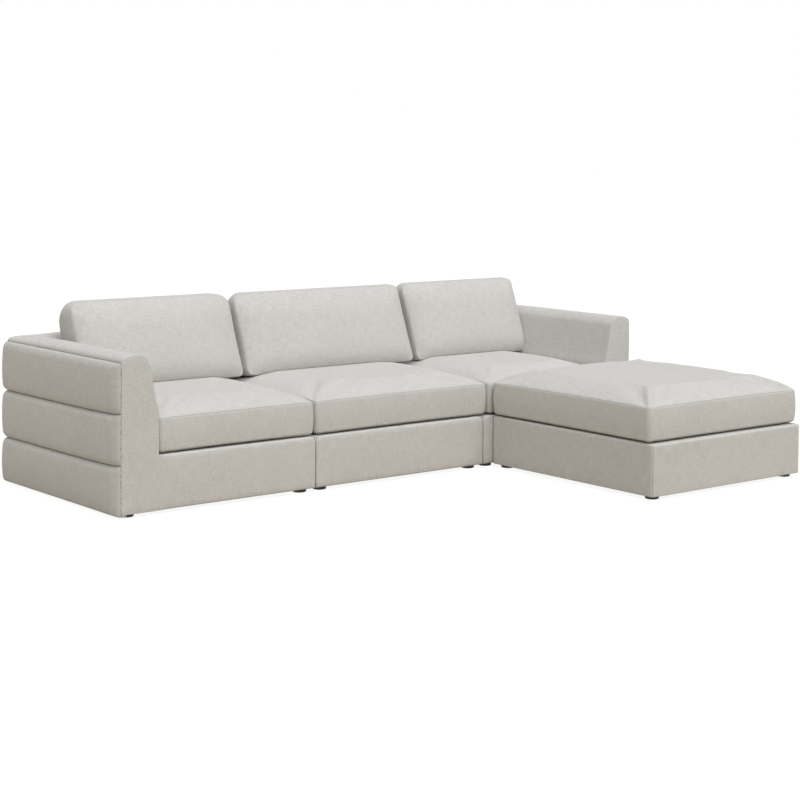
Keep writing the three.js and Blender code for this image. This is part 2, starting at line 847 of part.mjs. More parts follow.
function cornerUnit(side, x, flip) {
  const turn = (geometry) => (flip ? mirrored(geometry, unitWidth / 2) : geometry);
  const put = (piece, geometry, material) =>
    add(`${side}_${piece}`, turn(geometry), material, x - originX, -originY);
  const seat = seatCushion(seatSpans[side], seatY);
  put("frame", cornerFrame(), timber);
  put("webbing", webbing([seatRailOutset, cornerFrameX[1]], webbingY), strapping);
  put("deck_pad", deckPad(cornerDeckX, deckY, innerCornerRadius), fabric);
  put("dust_cover", dustCover(cornerFrameX, unitFrameY, unitFeet, cornerLeg), dustCloth);
  put("front_cover", cornerFrontCover(), fabric);
  put("inner_cover", cornerInnerCover(), fabric);
  levelNames.forEach((name, level) => put(`${name}_roll`, cornerRoll(level), fabric));
  put("seat_cushion", seat, fabric);
  put("back_cushion", backCushion(backSpans[side], seat), fabric);
  unitFeet.forEach((place, i) => put(`foot_${footNames[i]}`, foot(place), plastic));
}

function straightUnit(x) {
  const put = (piece, geometry, material) =>
    add(`middle_${piece}`, geometry, material, x - originX, -originY);
  const seat = seatCushion(seatSpans.middle, seatY);
  put("frame", straightFrame(), timber);
  put("webbing", webbing(straightFrameX, webbingY), strapping);
  put("deck_pad", deckPad(straightFrameX, deckY), fabric);
  put("dust_cover", dustCover(straightFrameX, unitFrameY, unitFeet), dustCloth);
  put("front_cover", straightFrontCover(), fabric);
  put("inner_cover", straightInnerCover(), fabric);
  levelNames.forEach((name, level) => put(`${name}_roll`, straightRoll(level), fabric));
  put("seat_cushion", seat, fabric);
  put("back_cushion", backCushion(backSpans.middle, seat), fabric);
  const names = ["left_front", "left_rear", "right_front", "right_rear"];
  unitFeet.forEach((place, i) => put(`foot_${names[i]}`, foot(place), plastic));
}

// One band sewn round all four sides, open above and below
function ottomanCover() {
  const [halfWidth, halfLength] = [ottomanWidth / 2, ottomanLength / 2];
  const outline = softRectangle(halfWidth, halfLength, coverCorner, 0);
  const block = slab(
    outline.map(([a, b]) => [a + halfWidth, b + halfLength]),
    baseTop - footHeight,
    coverEdge,
  );
  block.translate(0, 0, footHeight + coverEdge);
  const inside = boxSolid(
    [panelThick, ottomanWidth - panelThick],
    [panelThick, ottomanLength - panelThick],
    [footHeight - overrun, baseTop + overrun],
  );
  return toGeometry(toSolid(block).subtract(inside));
}

function ottomanUnit(x, y) {
  const put = (piece, geometry, material) =>
    add(`ottoman_${piece}`, geometry, material, x - originX, y - originY);
  const inset = panelThick + fit;
  const insideX = [inset, ottomanWidth - inset];
  const insideY = [inset, ottomanLength - inset];
  const feet = [footInset, ottomanWidth - footInset].flatMap((a) =>
    [footInset, ottomanLength - footInset].map((b) => [a, b]),
  );
  const cushionX = [-ottomanSeatLap, ottomanWidth - seatSideGap / 2];
  const cushionY = [ottomanSeatInset, ottomanLength + ottomanGap - ottomanSeatClear];
  put("frame", ottomanFrame(insideX, insideY, feet), timber);
  put("webbing", webbing(insideX, insideY), strapping);
  put("deck_pad", deckPad(insideX, insideY), fabric);
  put("dust_cover", dustCover(insideX, insideY, feet), dustCloth);
  put("cover", ottomanCover(), fabric);
  put("cushion", seatCushion(cushionX, cushionY, ottomanCrown), fabric);
  const names = ["left_front", "left_rear", "right_front", "right_rear"];
  feet.forEach((place, i) => put(`foot_${names[i]}`, foot(place), plastic));
}

cornerUnit("left", 0, false);
straightUnit(pitch);
cornerUnit("right", 2 * pitch, true);
ottomanUnit(ottomanX, ottomanFront);

[
  ["left", unitWidth],
  ["right", pitch + unitWidth],
].forEach(([name, x]) => {
  add(`${name}_connector_tongue`, connectorTongue(x), steel, -originX, -originY);
  add(`${name}_connector_sleeve`, connectorSleeve(x), steel, -originX, -originY);
});

export default sofa;
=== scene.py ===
"""Looks of a low modular sofa: padded rolls and covers, loose cushions, feet, underside and studio."""
import json
import math
from functools import partial
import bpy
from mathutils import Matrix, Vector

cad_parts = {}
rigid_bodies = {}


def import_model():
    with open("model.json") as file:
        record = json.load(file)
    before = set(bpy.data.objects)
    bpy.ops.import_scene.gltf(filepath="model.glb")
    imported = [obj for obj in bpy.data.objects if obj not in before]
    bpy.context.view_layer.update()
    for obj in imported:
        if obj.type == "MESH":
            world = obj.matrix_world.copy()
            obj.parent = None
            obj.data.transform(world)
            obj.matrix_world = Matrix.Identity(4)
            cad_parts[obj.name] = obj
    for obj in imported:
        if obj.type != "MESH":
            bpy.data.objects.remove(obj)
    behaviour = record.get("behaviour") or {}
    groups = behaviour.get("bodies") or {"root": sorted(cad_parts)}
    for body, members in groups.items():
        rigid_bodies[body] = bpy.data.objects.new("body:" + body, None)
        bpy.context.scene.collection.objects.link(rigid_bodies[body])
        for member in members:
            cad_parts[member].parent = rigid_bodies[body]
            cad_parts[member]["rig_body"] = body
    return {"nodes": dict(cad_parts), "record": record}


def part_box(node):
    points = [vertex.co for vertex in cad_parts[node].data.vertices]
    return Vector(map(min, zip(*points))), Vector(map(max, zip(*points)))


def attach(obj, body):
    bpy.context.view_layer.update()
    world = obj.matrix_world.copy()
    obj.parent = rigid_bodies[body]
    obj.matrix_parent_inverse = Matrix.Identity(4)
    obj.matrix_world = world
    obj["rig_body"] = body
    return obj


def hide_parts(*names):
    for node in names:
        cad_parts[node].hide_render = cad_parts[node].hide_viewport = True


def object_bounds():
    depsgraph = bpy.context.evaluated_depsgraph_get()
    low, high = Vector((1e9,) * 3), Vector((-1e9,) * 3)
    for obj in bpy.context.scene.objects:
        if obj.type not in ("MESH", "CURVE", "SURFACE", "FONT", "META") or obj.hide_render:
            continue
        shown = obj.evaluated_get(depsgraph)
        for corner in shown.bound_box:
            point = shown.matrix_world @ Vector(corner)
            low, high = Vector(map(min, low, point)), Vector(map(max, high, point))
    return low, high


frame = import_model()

from types import SimpleNamespace

import bmesh
import bpy
from bpy.props import FloatProperty, FloatVectorProperty, PointerProperty
from mathutils import Matrix, Vector, noise
from mathutils.bvhtree import BVHTree

bl_info = {
    "name": "Modular sofa",
    "version": (1, 0, 0),
    "blender": (4, 5, 0),
    "location": "3D View > Sidebar > Sofa",
    "description": "Dresses the packed frame of a modular sofa in padded cloth, and lights it",
    "category": "Object",
}

FRAME_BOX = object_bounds()
SIDES = ("left", "middle", "right")
LEVELS = ("lower", "middle", "upper")
STANDS = (*SIDES, "ottoman")
SEATS = (*(f"{side}_seat_cushion" for side in SIDES), "ottoman_cushion")


def length(name, default, description):
    """A size that a user can change."""
    return FloatProperty(name=name, description=description, default=default, min=0.0, unit="LENGTH")


def colour(name, default, description):
    """A colour that a user can change."""
    return FloatVectorProperty(
        name=name, description=description, default=default, min=0.0, max=1.0, size=3, subtype="COLOR"
    )


class SofaSizes(bpy.types.PropertyGroup):
    """Sizes of the padding, where the frame's boxes don't give them."""

    fit: length("Fit", 0.0003, "Gap between pieces that touch")
    panel: length("Front panel", 0.014, "Thickness of the padded front panel")
    panel_corner: length("Panel corner", 0.030, "Radius of a front panel's top corners where units meet")
    side_panel: length("Side panel", 0.010, "Thickness of the panels where units meet")
    wall_top: length("Wall top", 0.119, "Width of an arm or the back at its top edge")
    wall_top_edge: length("Wall top edge", 0.566, "Height at which the cap turns into the inside face")
    wall_knee: length("Wall knee", 0.374, "Height below which the wall keeps its width")
    wall_seat: length("Wall at the seat", 0.160, "Width of an arm or the back at the seat")
    roll_depth: length("Roll depth", 0.024, "How far a roll reaches in from the outside seam")
    skin: length("Panel edge", 0.0034, "Thickness of a front panel's edge, where it laps over the rolls")
    roll_bulge: length("Roll bulge", 0.022, "How far a roll swells out from the outside seam")
    roll_dome: length("Roll dome", 0.0075, "How much more a roll swells in its middle than by its grooves")
    roll_round: length("Roll round", 0.020, "How far in a roll rounds at a groove")
    roll_corner: length("Roll corner", 0.022, "Radius of the rolls at the rear corner")
    roll_low: length("Lower groove", 0.186, "Height of the groove between the lower and middle rolls")
    roll_high: length("Upper groove", 0.377, "Height of the groove between the middle and upper rolls")
    roll_shoulder: length("Roll shoulder", 0.025, "Height over which a roll rounds in to a groove")
    roll_hem: length("Roll hem", 0.010, "Radius of the lowest roll's bottom edge")
    roll_drop: length("Roll drop", 0.0075, "How far the lowest roll hangs below its solid")
    roll_end: length("Roll end", 0.062, "Length over which a roll rounds in to its end seam")
    gather: length("Gather", 0.0022, "Depth of the small pulls along the rolls' end seams")
    inner_corner: length("Inner corner", 0.014, "Radius of the inside corner between arm and back")
    seat_seam_low: length("Lower seat seam", 0.233, "Height of a seat cushion's lower seam")
    seat_seam_high: length("Upper seat seam", 0.359, "Height of a seat cushion's upper seam")
    seat_corner: length("Seat corner", 0.022, "Radius of a seat cushion's corners")
    back_corner_low: length("Lower back corner", 0.028, "Radius of a back cushion's lower corners")
    border_bulge: length("Border bulge", 0.004, "How far a cushion's border swells between its seams")
    back_bulge: length("Back border bulge", 0.009, "How far a back cushion's border swells")
    waist: length("Waist", 0.004, "How far a cushion's sides pull in between its corners")
    grid: length("Cloth grid", 0.013, "Size of the cells of the simulated cloth")
    thread: length("Thread", 0.0026, "Distance over which the weave repeats")


class SofaColours(bpy.types.PropertyGroup):
    """Colours of the cloth and the hidden pieces, linear."""

    yarn_light: colour("Light yarn", (0.700, 0.672, 0.634), "The lightest yarn of the cloth")
    yarn_dark: colour("Dark yarn", (0.500, 0.474, 0.438), "The darkest yarn of the cloth")
    timber: colour("Timber", (0.56, 0.38, 0.21), "Softwood of the frames")
    strapping: colour("Strapping", (0.07, 0.07, 0.068), "Webbing under the seats")
    dust_cloth: colour("Dust cloth", (0.016, 0.016, 0.017), "Cloth under the units")
    plastic: colour("Plastic", (0.012, 0.012, 0.013), "Feet")
    steel: colour("Steel", (0.42, 0.42, 0.43), "Connectors and staples")
    floor: colour("Floor", (0.52, 0.465, 0.375), "Studio floor")


def sizes():
    """The sizes that are set in the scene."""
    return bpy.context.scene.sofa_sizes


def colours():
    """The colours that are set in the scene."""
    return bpy.context.scene.sofa_colours


# Node trees


class Value:
    """What a node gives out. Python's operators on it add Math nodes."""

    def __init__(self, tree, socket):
        self.tree = tree
        self.socket = socket

    def math(self, operation, *others):
        return self.tree.node("ShaderNodeMath", {"operation": operation}, dict(enumerate((self, *others))))

    def __add__(self, other):
        return self.math("ADD", other)

    __radd__ = __add__

    def __mul__(self, other):
        return self.math("MULTIPLY", other)

    __rmul__ = __mul__

    def __sub__(self, other):
        return self.math("SUBTRACT", other)

    def __rsub__(self, other):
        return self.tree.node("ShaderNodeMath", {"operation": "SUBTRACT"}, {0: other, 1: self})

    def sine(self):
        return self.math("SINE")

    def between(self, low, high):
        """How far the value lies from low to high, held between 0 and 1."""
        inputs = {"Value": self, "From Min": low, "From Max": high}
        return self.tree.node("ShaderNodeMapRange", {"interpolation_type": "SMOOTHSTEP"}, inputs)


class Tree:
    """A node tree that is built node by node."""

    def node(self, kind, settings=None, inputs=None, output=0):
        """A node with its settings, then the values or links of its sockets."""
        made = self.tree.nodes.new(kind)
        for name, value in (settings or {}).items():
            setattr(made, name, value)
        for name, value in (inputs or {}).items():
            if isinstance(value, Value):
                self.tree.links.new(value.socket, made.inputs[name])
            else:
                made.inputs[name].default_value = value
        return Value(self, made.outputs[output]) if made.outputs else None

    def outputs(self, names, kind, inputs=None):
        """Several outputs of one node."""
        made = self.node(kind, None, inputs).socket.node
        return [Value(self, made.outputs[name]) for name in names]


class Shader(Tree):
    """The node tree of one material, or of the world."""

    def __init__(self, name, kind="materials"):
        self.owner = getattr(bpy.data, kind).new(name)
        self.owner.use_nodes = True
        self.tree = self.owner.node_tree
        self.tree.nodes.clear()

    def solid(self):
        """The place in the object, in metres."""
        return self.node("ShaderNodeTexCoord", output=3)

    def seen(self):
        """1 for what the camera sees itself, in a mirror or through glass, else 0."""
        names = ("Is Camera Ray", "Is Glossy Ray", "Is Transmission Ray")
        first, second, third = self.outputs(names, "ShaderNodeLightPath")
        return first + second + third

    def parts(self, vector):
        """The three parts of a vector."""
        return self.outputs((0, 1, 2), "ShaderNodeSeparateXYZ", {0: vector})

    def noise(self, vector, scale, detail=2.0):
        """Noise over a vector, or over three parts."""
        if isinstance(vector, tuple):
            vector = self.node("ShaderNodeCombineXYZ", None, dict(enumerate(vector)))
        return self.node("ShaderNodeTexNoise", None, {"Vector": vector, "Scale": scale, "Detail": detail})

    def mix(self, factor, first, second):
        """A colour between two colours."""
        return self.node("ShaderNodeMix", {"data_type": "RGBA"}, {"Factor": factor, 6: first, 7: second}, 2)

    def bump(self, height, strength, distance, **over):
        """A normal from a height, laid over another Normal if one is given."""
        inputs = {"Height": height, "Strength": strength, "Distance": distance, **over}
        return self.node("ShaderNodeBump", None, inputs)

    def surface(self, colour, roughness, normal, others=None):
        """Ends the tree in a Principled surface."""
        inputs = {"Base Color": colour, "Roughness": roughness, "Normal": normal, **(others or {})}
        shade = self.node("ShaderNodeBsdfPrincipled", None, inputs)
        self.node("ShaderNodeOutputMaterial", None, {"Surface": shade})
        return self.owner


class Recipe(Tree):
    """A Geometry Nodes tree with named inputs, which grows real geometry with a finish over a path."""

    def __init__(self, name, inputs):
        self.tree = bpy.data.node_groups.new(name, "GeometryNodeTree")
        face = self.tree.interface
        face.new_socket(name="Geometry", in_out="OUTPUT", socket_type="NodeSocketGeometry")
        self.labels = {
            label: face.new_socket(name=label, in_out="INPUT", socket_type=f"NodeSocket{kind}").identifier
            for label, kind in {"Path": "Geometry", **inputs, "Finish": "Material"}.items()
        }
        self.start = self.tree.nodes.new("NodeGroupInput")

    def given(self, *labels):
        found = [Value(self, self.start.outputs[label]) for label in labels]
        return found if len(found) > 1 else found[0]

    def end(self, geometry):
        real = self.node("GeometryNodeRealizeInstances", None, {"Geometry": geometry})
        finish = {"Geometry": real, "Material": self.given("Finish")}
        self.node("NodeGroupOutput", None, {0: self.node("GeometryNodeSetMaterial", None, finish)})
        return self

    def grow(self, name, points, edges, values):
        """A plain mesh object, grown over a path."""
        path = bpy.data.meshes.new(f"{name}_path")
        path.from_pydata(points, edges, [])
        made = placed(name, path)
        modifier = made.modifiers.new("Recipe", "NODES")
        modifier.node_group = self.tree
        for label, value in values.items():
            modifier[self.labels[label]] = value
        return settled(made, baked(made))


def placed(name, data):
    """A new object in the scene."""
    made = bpy.data.objects.new(name, data)
    bpy.context.collection.objects.link(made)
    return made


def baked(piece):
    """A piece's mesh with its modifiers in it."""
    return bpy.data.meshes.new_from_object(piece.evaluated_get(bpy.context.evaluated_depsgraph_get()))


def settled(piece, mesh):
    """The piece with a mesh of its own in place of its modifiers."""
    piece.modifiers.clear()
    piece.data = mesh
    return piece


def strap_recipe():
    """Flat straps along level lines."""
    recipe = Recipe("straps", {"Width": "Float", "Thickness": "Float"})
    path, wide, thick = recipe.given("Path", "Width", "Thickness")
    line = recipe.node("GeometryNodeMeshToCurve", None, {"Mesh": path})
    level = recipe.node("GeometryNodeSetCurveNormal", {"mode": "Z_UP"}, {"Curve": line})
    outline = {"Width": wide, "Height": thick}
    profile = recipe.node("GeometryNodeCurvePrimitiveQuadrilateral", {"mode": "RECTANGLE"}, outline)
    strap = {"Curve": level, "Profile Curve": profile, "Fill Caps": True}
    return recipe.end(recipe.node("GeometryNodeCurveToMesh", None, strap))


def row_recipe():
    """Small blocks in a row along a path, each turned a little by chance."""
    recipe = Recipe("row", {"Spacing": "Float", "Size": "Vector", "Turn": "Float", "Seed": "Int"})
    path, spacing, size, turn, seed = recipe.given("Path", "Spacing", "Size", "Turn", "Seed")
    line = recipe.node("GeometryNodeMeshToCurve", None, {"Mesh": path})
    steps = {"Curve": line, "Length": spacing}
    places = recipe.node("GeometryNodeResampleCurve", {"mode": "LENGTH"}, steps)
    along = {"Vector": recipe.node("GeometryNodeInputTangent")}
    facing = recipe.node("FunctionNodeAlignRotationToVector", {"axis": "X"}, along)
    limits = {2: turn * -1.0, 3: turn, 8: seed}
    chance = recipe.node("FunctionNodeRandomValue", {"data_type": "FLOAT"}, limits, 1)
    twist = {"Axis": (0.0, 0.0, 1.0), "Angle": chance}
    turns = {"Rotation": facing, "Rotate By": recipe.node("FunctionNodeAxisAngleToRotation", None, twist)}
    rotation = recipe.node("FunctionNodeRotateRotation", {"rotation_space": "LOCAL"}, turns)
    block = recipe.node("GeometryNodeMeshCube", None, {"Size": size})
    row = {"Points": places, "Instance": block, "Rotation": rotation}
    return recipe.end(recipe.node("GeometryNodeInstanceOnPoints", None, row))


# Materials

SLUB_LONG, SLUB_FINE, HEATHER, BROAD, DRIFT, PUFF = 24.0, 330.0, 520.0, 5.0, 60.0, 8.0
# Painted shade along each seam: SEAM_LINE is the distance over which it fades out, SEAM_SHADE the share of
# the dark yarn's colour at the seam itself.
SEAM_LINE, SEAM_SHADE = 0.0020, 0.72
NAP = {"Sheen Weight": 0.12, "Sheen Roughness": 0.45, "Specular IOR Level": 0.22}


def shade_of(name, share=1.0):
    """One of the scene's colours, made darker or lighter by a share, with its alpha."""
    return (*(part * share for part in getattr(colours(), name)), 1.0)


def upholstery_cloth():
    """Linen-look cloth: uneven yarns both ways, heathered in colour, with painted shade along the line of
    each seam.
    """
    shader = Shader("upholstery_cloth")
    place = shader.node("ShaderNodeUVMap", {"uv_map": "weave"})
    along, across, _ = shader.parts(place)
    solid = shader.solid()
    slub_along = shader.noise((along * SLUB_LONG, across * SLUB_FINE, 0.0), 1.0)
    slub_across = shader.noise((along * SLUB_FINE, across * SLUB_LONG, 7.0), 1.0)
    heather = shader.noise((along, across, 3.0), HEATHER, 1.0)
    broad = shader.noise(solid, BROAD, 3.0)
    turn = 2 * math.pi / sizes().thread
    drift = shader.noise(place, DRIFT, 1.0) * 1.6
    weave = (along * turn + drift).sine() * (across * turn + drift).sine()
    tone = (slub_along - 0.5) * 1.1 + (slub_across - 0.5) * 1.1 + (heather - 0.5) * 0.6
    tone = tone + (broad - 0.5) * 0.25 + weave * 0.06 + 0.55
    seam = shader.node("ShaderNodeAttribute", {"attribute_name": "seam"}, output=2)
    line = seam.between(0.0, SEAM_LINE)
    cloth = shader.mix(tone, shade_of("yarn_dark"), shade_of("yarn_light"))
    # Painted shade: close to each seam the cloth turns to a darker yarn colour, standing in for the shade
    # in the seam's groove.
    seam_shaded = shader.mix(line, shade_of("yarn_dark", SEAM_SHADE), cloth)
    threads = weave * 0.35 + (slub_along + slub_across) * 0.9 + line * 2.0
    soft = shader.bump(shader.noise(solid, PUFF, 2.0), 1.0, 0.0025)
    normal = shader.bump(threads, 0.45, 0.0005, Normal=soft)
    return shader.surface(seam_shaded, 0.86 + (heather - 0.5) * 0.12, normal, NAP)


def softwood():
    """Planed softwood: grain drawn out along the boards, over rings."""
    shader = Shader("softwood")
    x, y, z = shader.parts(shader.solid())
    grain = shader.noise((x * 6.0, y * 6.0, z * 160.0), 1.0, 4.0)
    fibre = shader.noise((x * 40.0, y * 40.0, z * 900.0), 1.0, 2.0)
    wood = shader.mix(grain.between(0.3, 0.7), shade_of("timber", 0.72), shade_of("timber", 1.12))
    return shader.surface(wood, 0.62 + fibre * 0.2, shader.bump(grain * 0.7 + fibre, 0.25, 0.0004))


def strapping():
    """Elastic webbing: fine ribs along each strap."""
    shader = Shader("strapping")
    x, y, _ = shader.parts(shader.solid())
    ribs = (x * 2400.0).sine() * (y * 2400.0).sine()
    wear = shader.noise((x, y, 0.0), 60.0, 3.0)
    tone = shader.mix(wear, shade_of("strapping", 0.7), shade_of("strapping", 1.5))
    return shader.surface(tone, 0.8 + wear * 0.15, shader.bump(ribs, 0.4, 0.0004))


def dust_cloth():
    """Thin black non-woven cloth with pressed dots and loose fibres."""
    shader = Shader("dust_cloth")
    solid = shader.solid()
    x, y, _ = shader.parts(solid)
    dots = ((x + y) * 1500.0).sine() * ((x - y) * 1500.0).sine()
    fibre = shader.noise(solid, 700.0, 4.0)
    tone = shader.mix(fibre, shade_of("dust_cloth", 0.6), shade_of("dust_cloth", 1.8))
    return shader.surface(tone, 0.85 + fibre * 0.12, shader.bump(fibre + dots * 0.3, 0.4, 0.0003))


def moulded_plastic():
    """Black moulded plastic with a fine spark-eroded grain."""
    shader = Shader("moulded_plastic")
    solid = shader.solid()
    grain = shader.noise(solid, 1400.0, 2.0)
    scuff = shader.noise(solid, 60.0, 3.0)
    tone = shader.mix(scuff, shade_of("plastic", 0.8), shade_of("plastic", 1.5))
    return shader.surface(tone, 0.42 + scuff * 0.2, shader.bump(grain, 0.2, 0.0002))


def pressed_steel():
    """Plain pressed steel, drawn one way."""
    shader = Shader("pressed_steel")
    x, y, z = shader.parts(shader.solid())
    drawn = shader.noise((x * 30.0, y * 900.0, z * 900.0), 1.0, 3.0)
    tone = shader.mix(drawn, shade_of("steel", 0.85), shade_of("steel", 1.1))
    return shader.surface(tone, 0.3 + drawn * 0.2, shader.bump(drawn, 0.15, 0.0002), {"Metallic": 1.0})


FINISHES = {
    "fabric": upholstery_cloth,
    "timber": softwood,
    "strapping": strapping,
    "dust_cloth": dust_cloth,
    "plastic": moulded_plastic,
    "steel": pressed_steel,
}
finished = {}


def finish_of(slot):
    """The material of a slot, made once."""
    if slot not in finished:
        finished[slot] = FINISHES[slot]()
    return finished[slot]


# Lines and outlines


def lengths_along(points):
    """How far along a line each of its points lies."""
    found = [0.0]
    for first, second in zip(points, points[1:]):
        found.append(found[-1] + math.dist(first, second))
    return found


def resample(points, spacing):
    """Points evenly spaced along an open line, about a spacing apart."""
    lengths = lengths_along(points)
    count = max(2, round(lengths[-1] / spacing))
    found, leg = [], 0
    for step in range(count + 1):
        at = lengths[-1] * step / count
        while leg + 2 < len(lengths) and lengths[leg + 1] < at:
            leg += 1
        share = (at - lengths[leg]) / (lengths[leg + 1] - lengths[leg])
        found.append(tuple(a + (b - a) * share for a, b in zip(points[leg], points[leg + 1])))
    return found


def quarter(steps):
    """Sines and cosines over a quarter turn."""
    angles = [step / steps * math.pi / 2 for step in range(steps + 1)]
    return [(math.sin(angle), math.cos(angle)) for angle in angles]


def rounded(points, steps=6):
    """A smooth line through points (Catmull-Rom)."""
    ends = [points[0], *points, points[-1]]

    def between(p, q, r, s, t):
        square, cube = 2 * p - 5 * q + 4 * r - s, 3 * q - p - 3 * r + s
        return 0.5 * (2 * q + (r - p) * t + square * t**2 + cube * t**3)

    found = []
    for four in zip(ends, ends[1:], ends[2:], ends[3:]):
        for step in range(steps):
            found.append(tuple(between(*parts, step / steps) for parts in zip(*four)))
    return [*found, points[-1]]


def graded(end, cell, first=0.001, growth=1.35):
    """Places from 0 to an end whose steps start small at both ends and grow to a cell."""
    steps, step, half = [0.0], first, end / 2
    while step < cell and steps[-1] + step < half * 0.6:
        steps.append(steps[-1] + step)
        step *= growth
    start = steps[-1]
    count = max(2, math.ceil((end - 2 * start) / cell))
    middle = [start + (end - 2 * start) * i / count for i in range(1, count)]
    return [*steps, *middle, *(end - at for at in reversed(steps))]


def smooth(share):
    """0 to 1 with level ends."""
    share = min(max(share, 0.0), 1.0)
    return share * share * (3 - 2 * share)


def ripple(x, y, z=0.0):
    """Gentle random swell between about -1 and 1, the same on each run."""
    return noise.noise(Vector((x, y, z)))


# Cloth pieces


class Cloth:
    """Points and faces of one piece, with the places on the weave and the distances to the nearest seam."""

    def __init__(self):
        self.points, self.seams, self.faces, self.weave = [], [], [], []

    def grid(self, rows, weave, seam=lambda i, j: 1.0, loop=False):
        """Faces between rows of points; loop joins each row's last point to its first."""
        start, width = len(self.points), len(rows[0])
        for i, row in enumerate(rows):
            self.points.extend(row)
            self.seams.extend(seam(i, j) for j in range(width))
        for i in range(len(rows) - 1):
            low, high = start + i * width, start + (i + 1) * width
            for j in range(width if loop else width - 1):
                after = (j + 1) % width
                self.faces.append((low + j, low + after, high + after, high + j))
                self.weave.append([weave(i, j), weave(i, j + 1), weave(i + 1, j + 1), weave(i + 1, j)])

    def cap(self, ring, weave):
        """One face over a ring of points."""
        start = len(self.points)
        self.points.extend(ring)
        self.seams.extend([1.0] * len(ring))
        self.faces.append(tuple(range(start, len(self.points))))
        self.weave.append(weave)

    def piece(self, name, flip=None):
        """The finished mesh object; flip mirrors it in x about a plane."""
        points = self.points
        if flip is not None:
            points = [(2 * flip - x, y, z) for x, y, z in points]
        mesh = bpy.data.meshes.new(name)
        mesh.from_pydata(points, [], self.faces)
        layer = mesh.uv_layers.new(name="weave")
        layer.data.foreach_set("uv", [part for face in self.weave for corner in face for part in corner])
        mesh.attributes.new("seam", "FLOAT", "POINT").data.foreach_set("value", self.seams)
        close(mesh)
        return placed(name, mesh)


def close(mesh, gap=0.00005):
    """Merges doubled points, turns the faces outwards and shades them smooth."""
    shape = bmesh.new()
    shape.from_mesh(mesh)
    bmesh.ops.remove_doubles(shape, verts=shape.verts, dist=gap)
    bmesh.ops.recalc_face_normals(shape, faces=shape.faces)
    for face in shape.faces:
        face.smooth = True
    shape.to_mesh(mesh)
    shape.free()


def dress(piece, node, slot="fabric"):
    """The piece takes a slot's finish, rides on its node's body and stands for the node."""
    piece.data.materials.clear()
    piece.data.materials.append(finish_of(slot))
    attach(piece, frame["nodes"][node]["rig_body"])
    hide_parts(node)
    return piece


def pad(piece, node):
    """Dresses a padded piece."""
    dress(piece, node)


def unit_of(side):
    """Where a seat unit stands: its outside planes and the heights of its covers."""
    low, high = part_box(f"{side}_front_cover")
    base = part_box("ottoman_cover")[1].z
    return SimpleNamespace(
        side=side,
        x0=low.x,
        x1=high.x,
        front=low.y,
        rear=high.y,
        foot=low.z,
        cap=high.z,
        seam=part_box(f"{side}_upper_roll")[1].z,
        base=base,
        deck=base + sizes().fit,
        flip=(low.x + high.x) / 2 if side == "right" else None,
        seed=SIDES.index(side) * 11.0,
    )


def wall_width(height):
    """How far in from the outside the inside face of an arm or the back stands, at a height."""
    s = sizes()
    slope = (s.wall_seat - s.wall_top) / (s.wall_top_edge - s.wall_knee)
    return s.wall_top + slope * (s.wall_top_edge - max(height, s.wall_knee))


# The wall of a unit, seen from above, as stations along the arm, round the rear corner and along the back


def corner_radius(u):
    """Radius of the rear corner at a distance in from the outside."""
    return max(sizes().roll_corner - u, sizes().inner_corner)


def half_wall(unit, end, cell, arm, steps=7):
    """A corner unit's wall, from the end of its arm or of its back to the middle of the corner."""
    whole = abs((unit.rear if arm else unit.x0) - end)
    total = whole - sizes().roll_corner

    def straight(at):
        def place(u):
            reach = (whole - u - corner_radius(u)) * at / total
            return (unit.x0 + u, end + reach) if arm else (end - reach, unit.rear - u)

        return place, at

    def bend(share):
        turned = share if arm else 1 - share
        return lambda u: corner_point(unit, u, turned), total + share * 0.1

    bends = [bend(step / steps / 2) for step in range(1, steps + 1)]
    return [straight(at) for at in half_graded(total, cell)] + bends


def corner_point(unit, u, share):
    """A place on the rear corner's bend, a share of the way from the arm to the back."""
    radius = corner_radius(u)
    angle = share * math.pi / 2
    x = unit.x0 + u + radius * (1 - math.cos(angle))
    return x, unit.rear - u - radius * (1 - math.sin(angle))


def half_graded(end, cell):
    """Places from 0 to an end whose steps start small at 0."""
    return [at for at in graded(2 * end, cell) if at < end - cell / 2] + [end]


def back_stations(unit, start, end, cell):
    """The back of the middle unit."""

    def station(at):
        return lambda u: (start + at, unit.rear - u), min(at, end - start - at)

    return [station(at) for at in graded(end - start, cell)]


def sweep(cloth, section, stations, shape, along, capped=(True, True)):
    """A closed section carried through stations. shape gives how far in and how high a section point
    lies at a distance from the nearest end; along picks the coordinate that the weave follows."""
    girth = lengths_along([*section, section[0]])
    rows = []
    for place, from_end in stations:
        row = []
        for k, (u, z) in enumerate(section):
            inset, height = shape(u, z, from_end, place(u), k)
            row.append((*place(inset), height))
        rows.append(row)

    def weave(i, j):
        return rows[i][j % len(section)][along], girth[j]

    cloth.grid(rows, weave, lambda i, j: stations[i][1], loop=True)
    for row, wanted in zip((rows[0], rows[-1]), capped):
        if wanted:
            cloth.cap(row, [(point[along], point[2]) for point in row])


def wrapped(unit, section, shape, cell):
    """Cloth with one section along a unit's back and, in a corner unit, along its arm."""
    s = sizes()
    end = s.side_panel + s.fit
    cloth = Cloth()
    if unit.side == "middle":
        sweep(cloth, section, back_stations(unit, unit.x0 + end, unit.x1 - end, cell), shape, 0)
    else:
        arm = half_wall(unit, unit.front + s.skin + s.fit, cell, True)
        back = half_wall(unit, unit.x1 - end, cell, False)
        sweep(cloth, section, arm, shape, 1, (True, False))
        sweep(cloth, section, back[::-1], shape, 0, (False, True))
    return cloth


# Padded rolls


def roll_spans():
    """Where each roll starts and ends in height."""
    s = sizes()
    low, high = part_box("left_lower_roll")[0].z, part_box("left_upper_roll")[1].z
    edges = [low - s.roll_drop, s.roll_low, s.roll_high, high]
    return {
        level: (edges[k] + s.fit / 2 * (k > 0), edges[k + 1] - s.fit / 2 * (k < 2))
        for k, level in enumerate(LEVELS)
    }


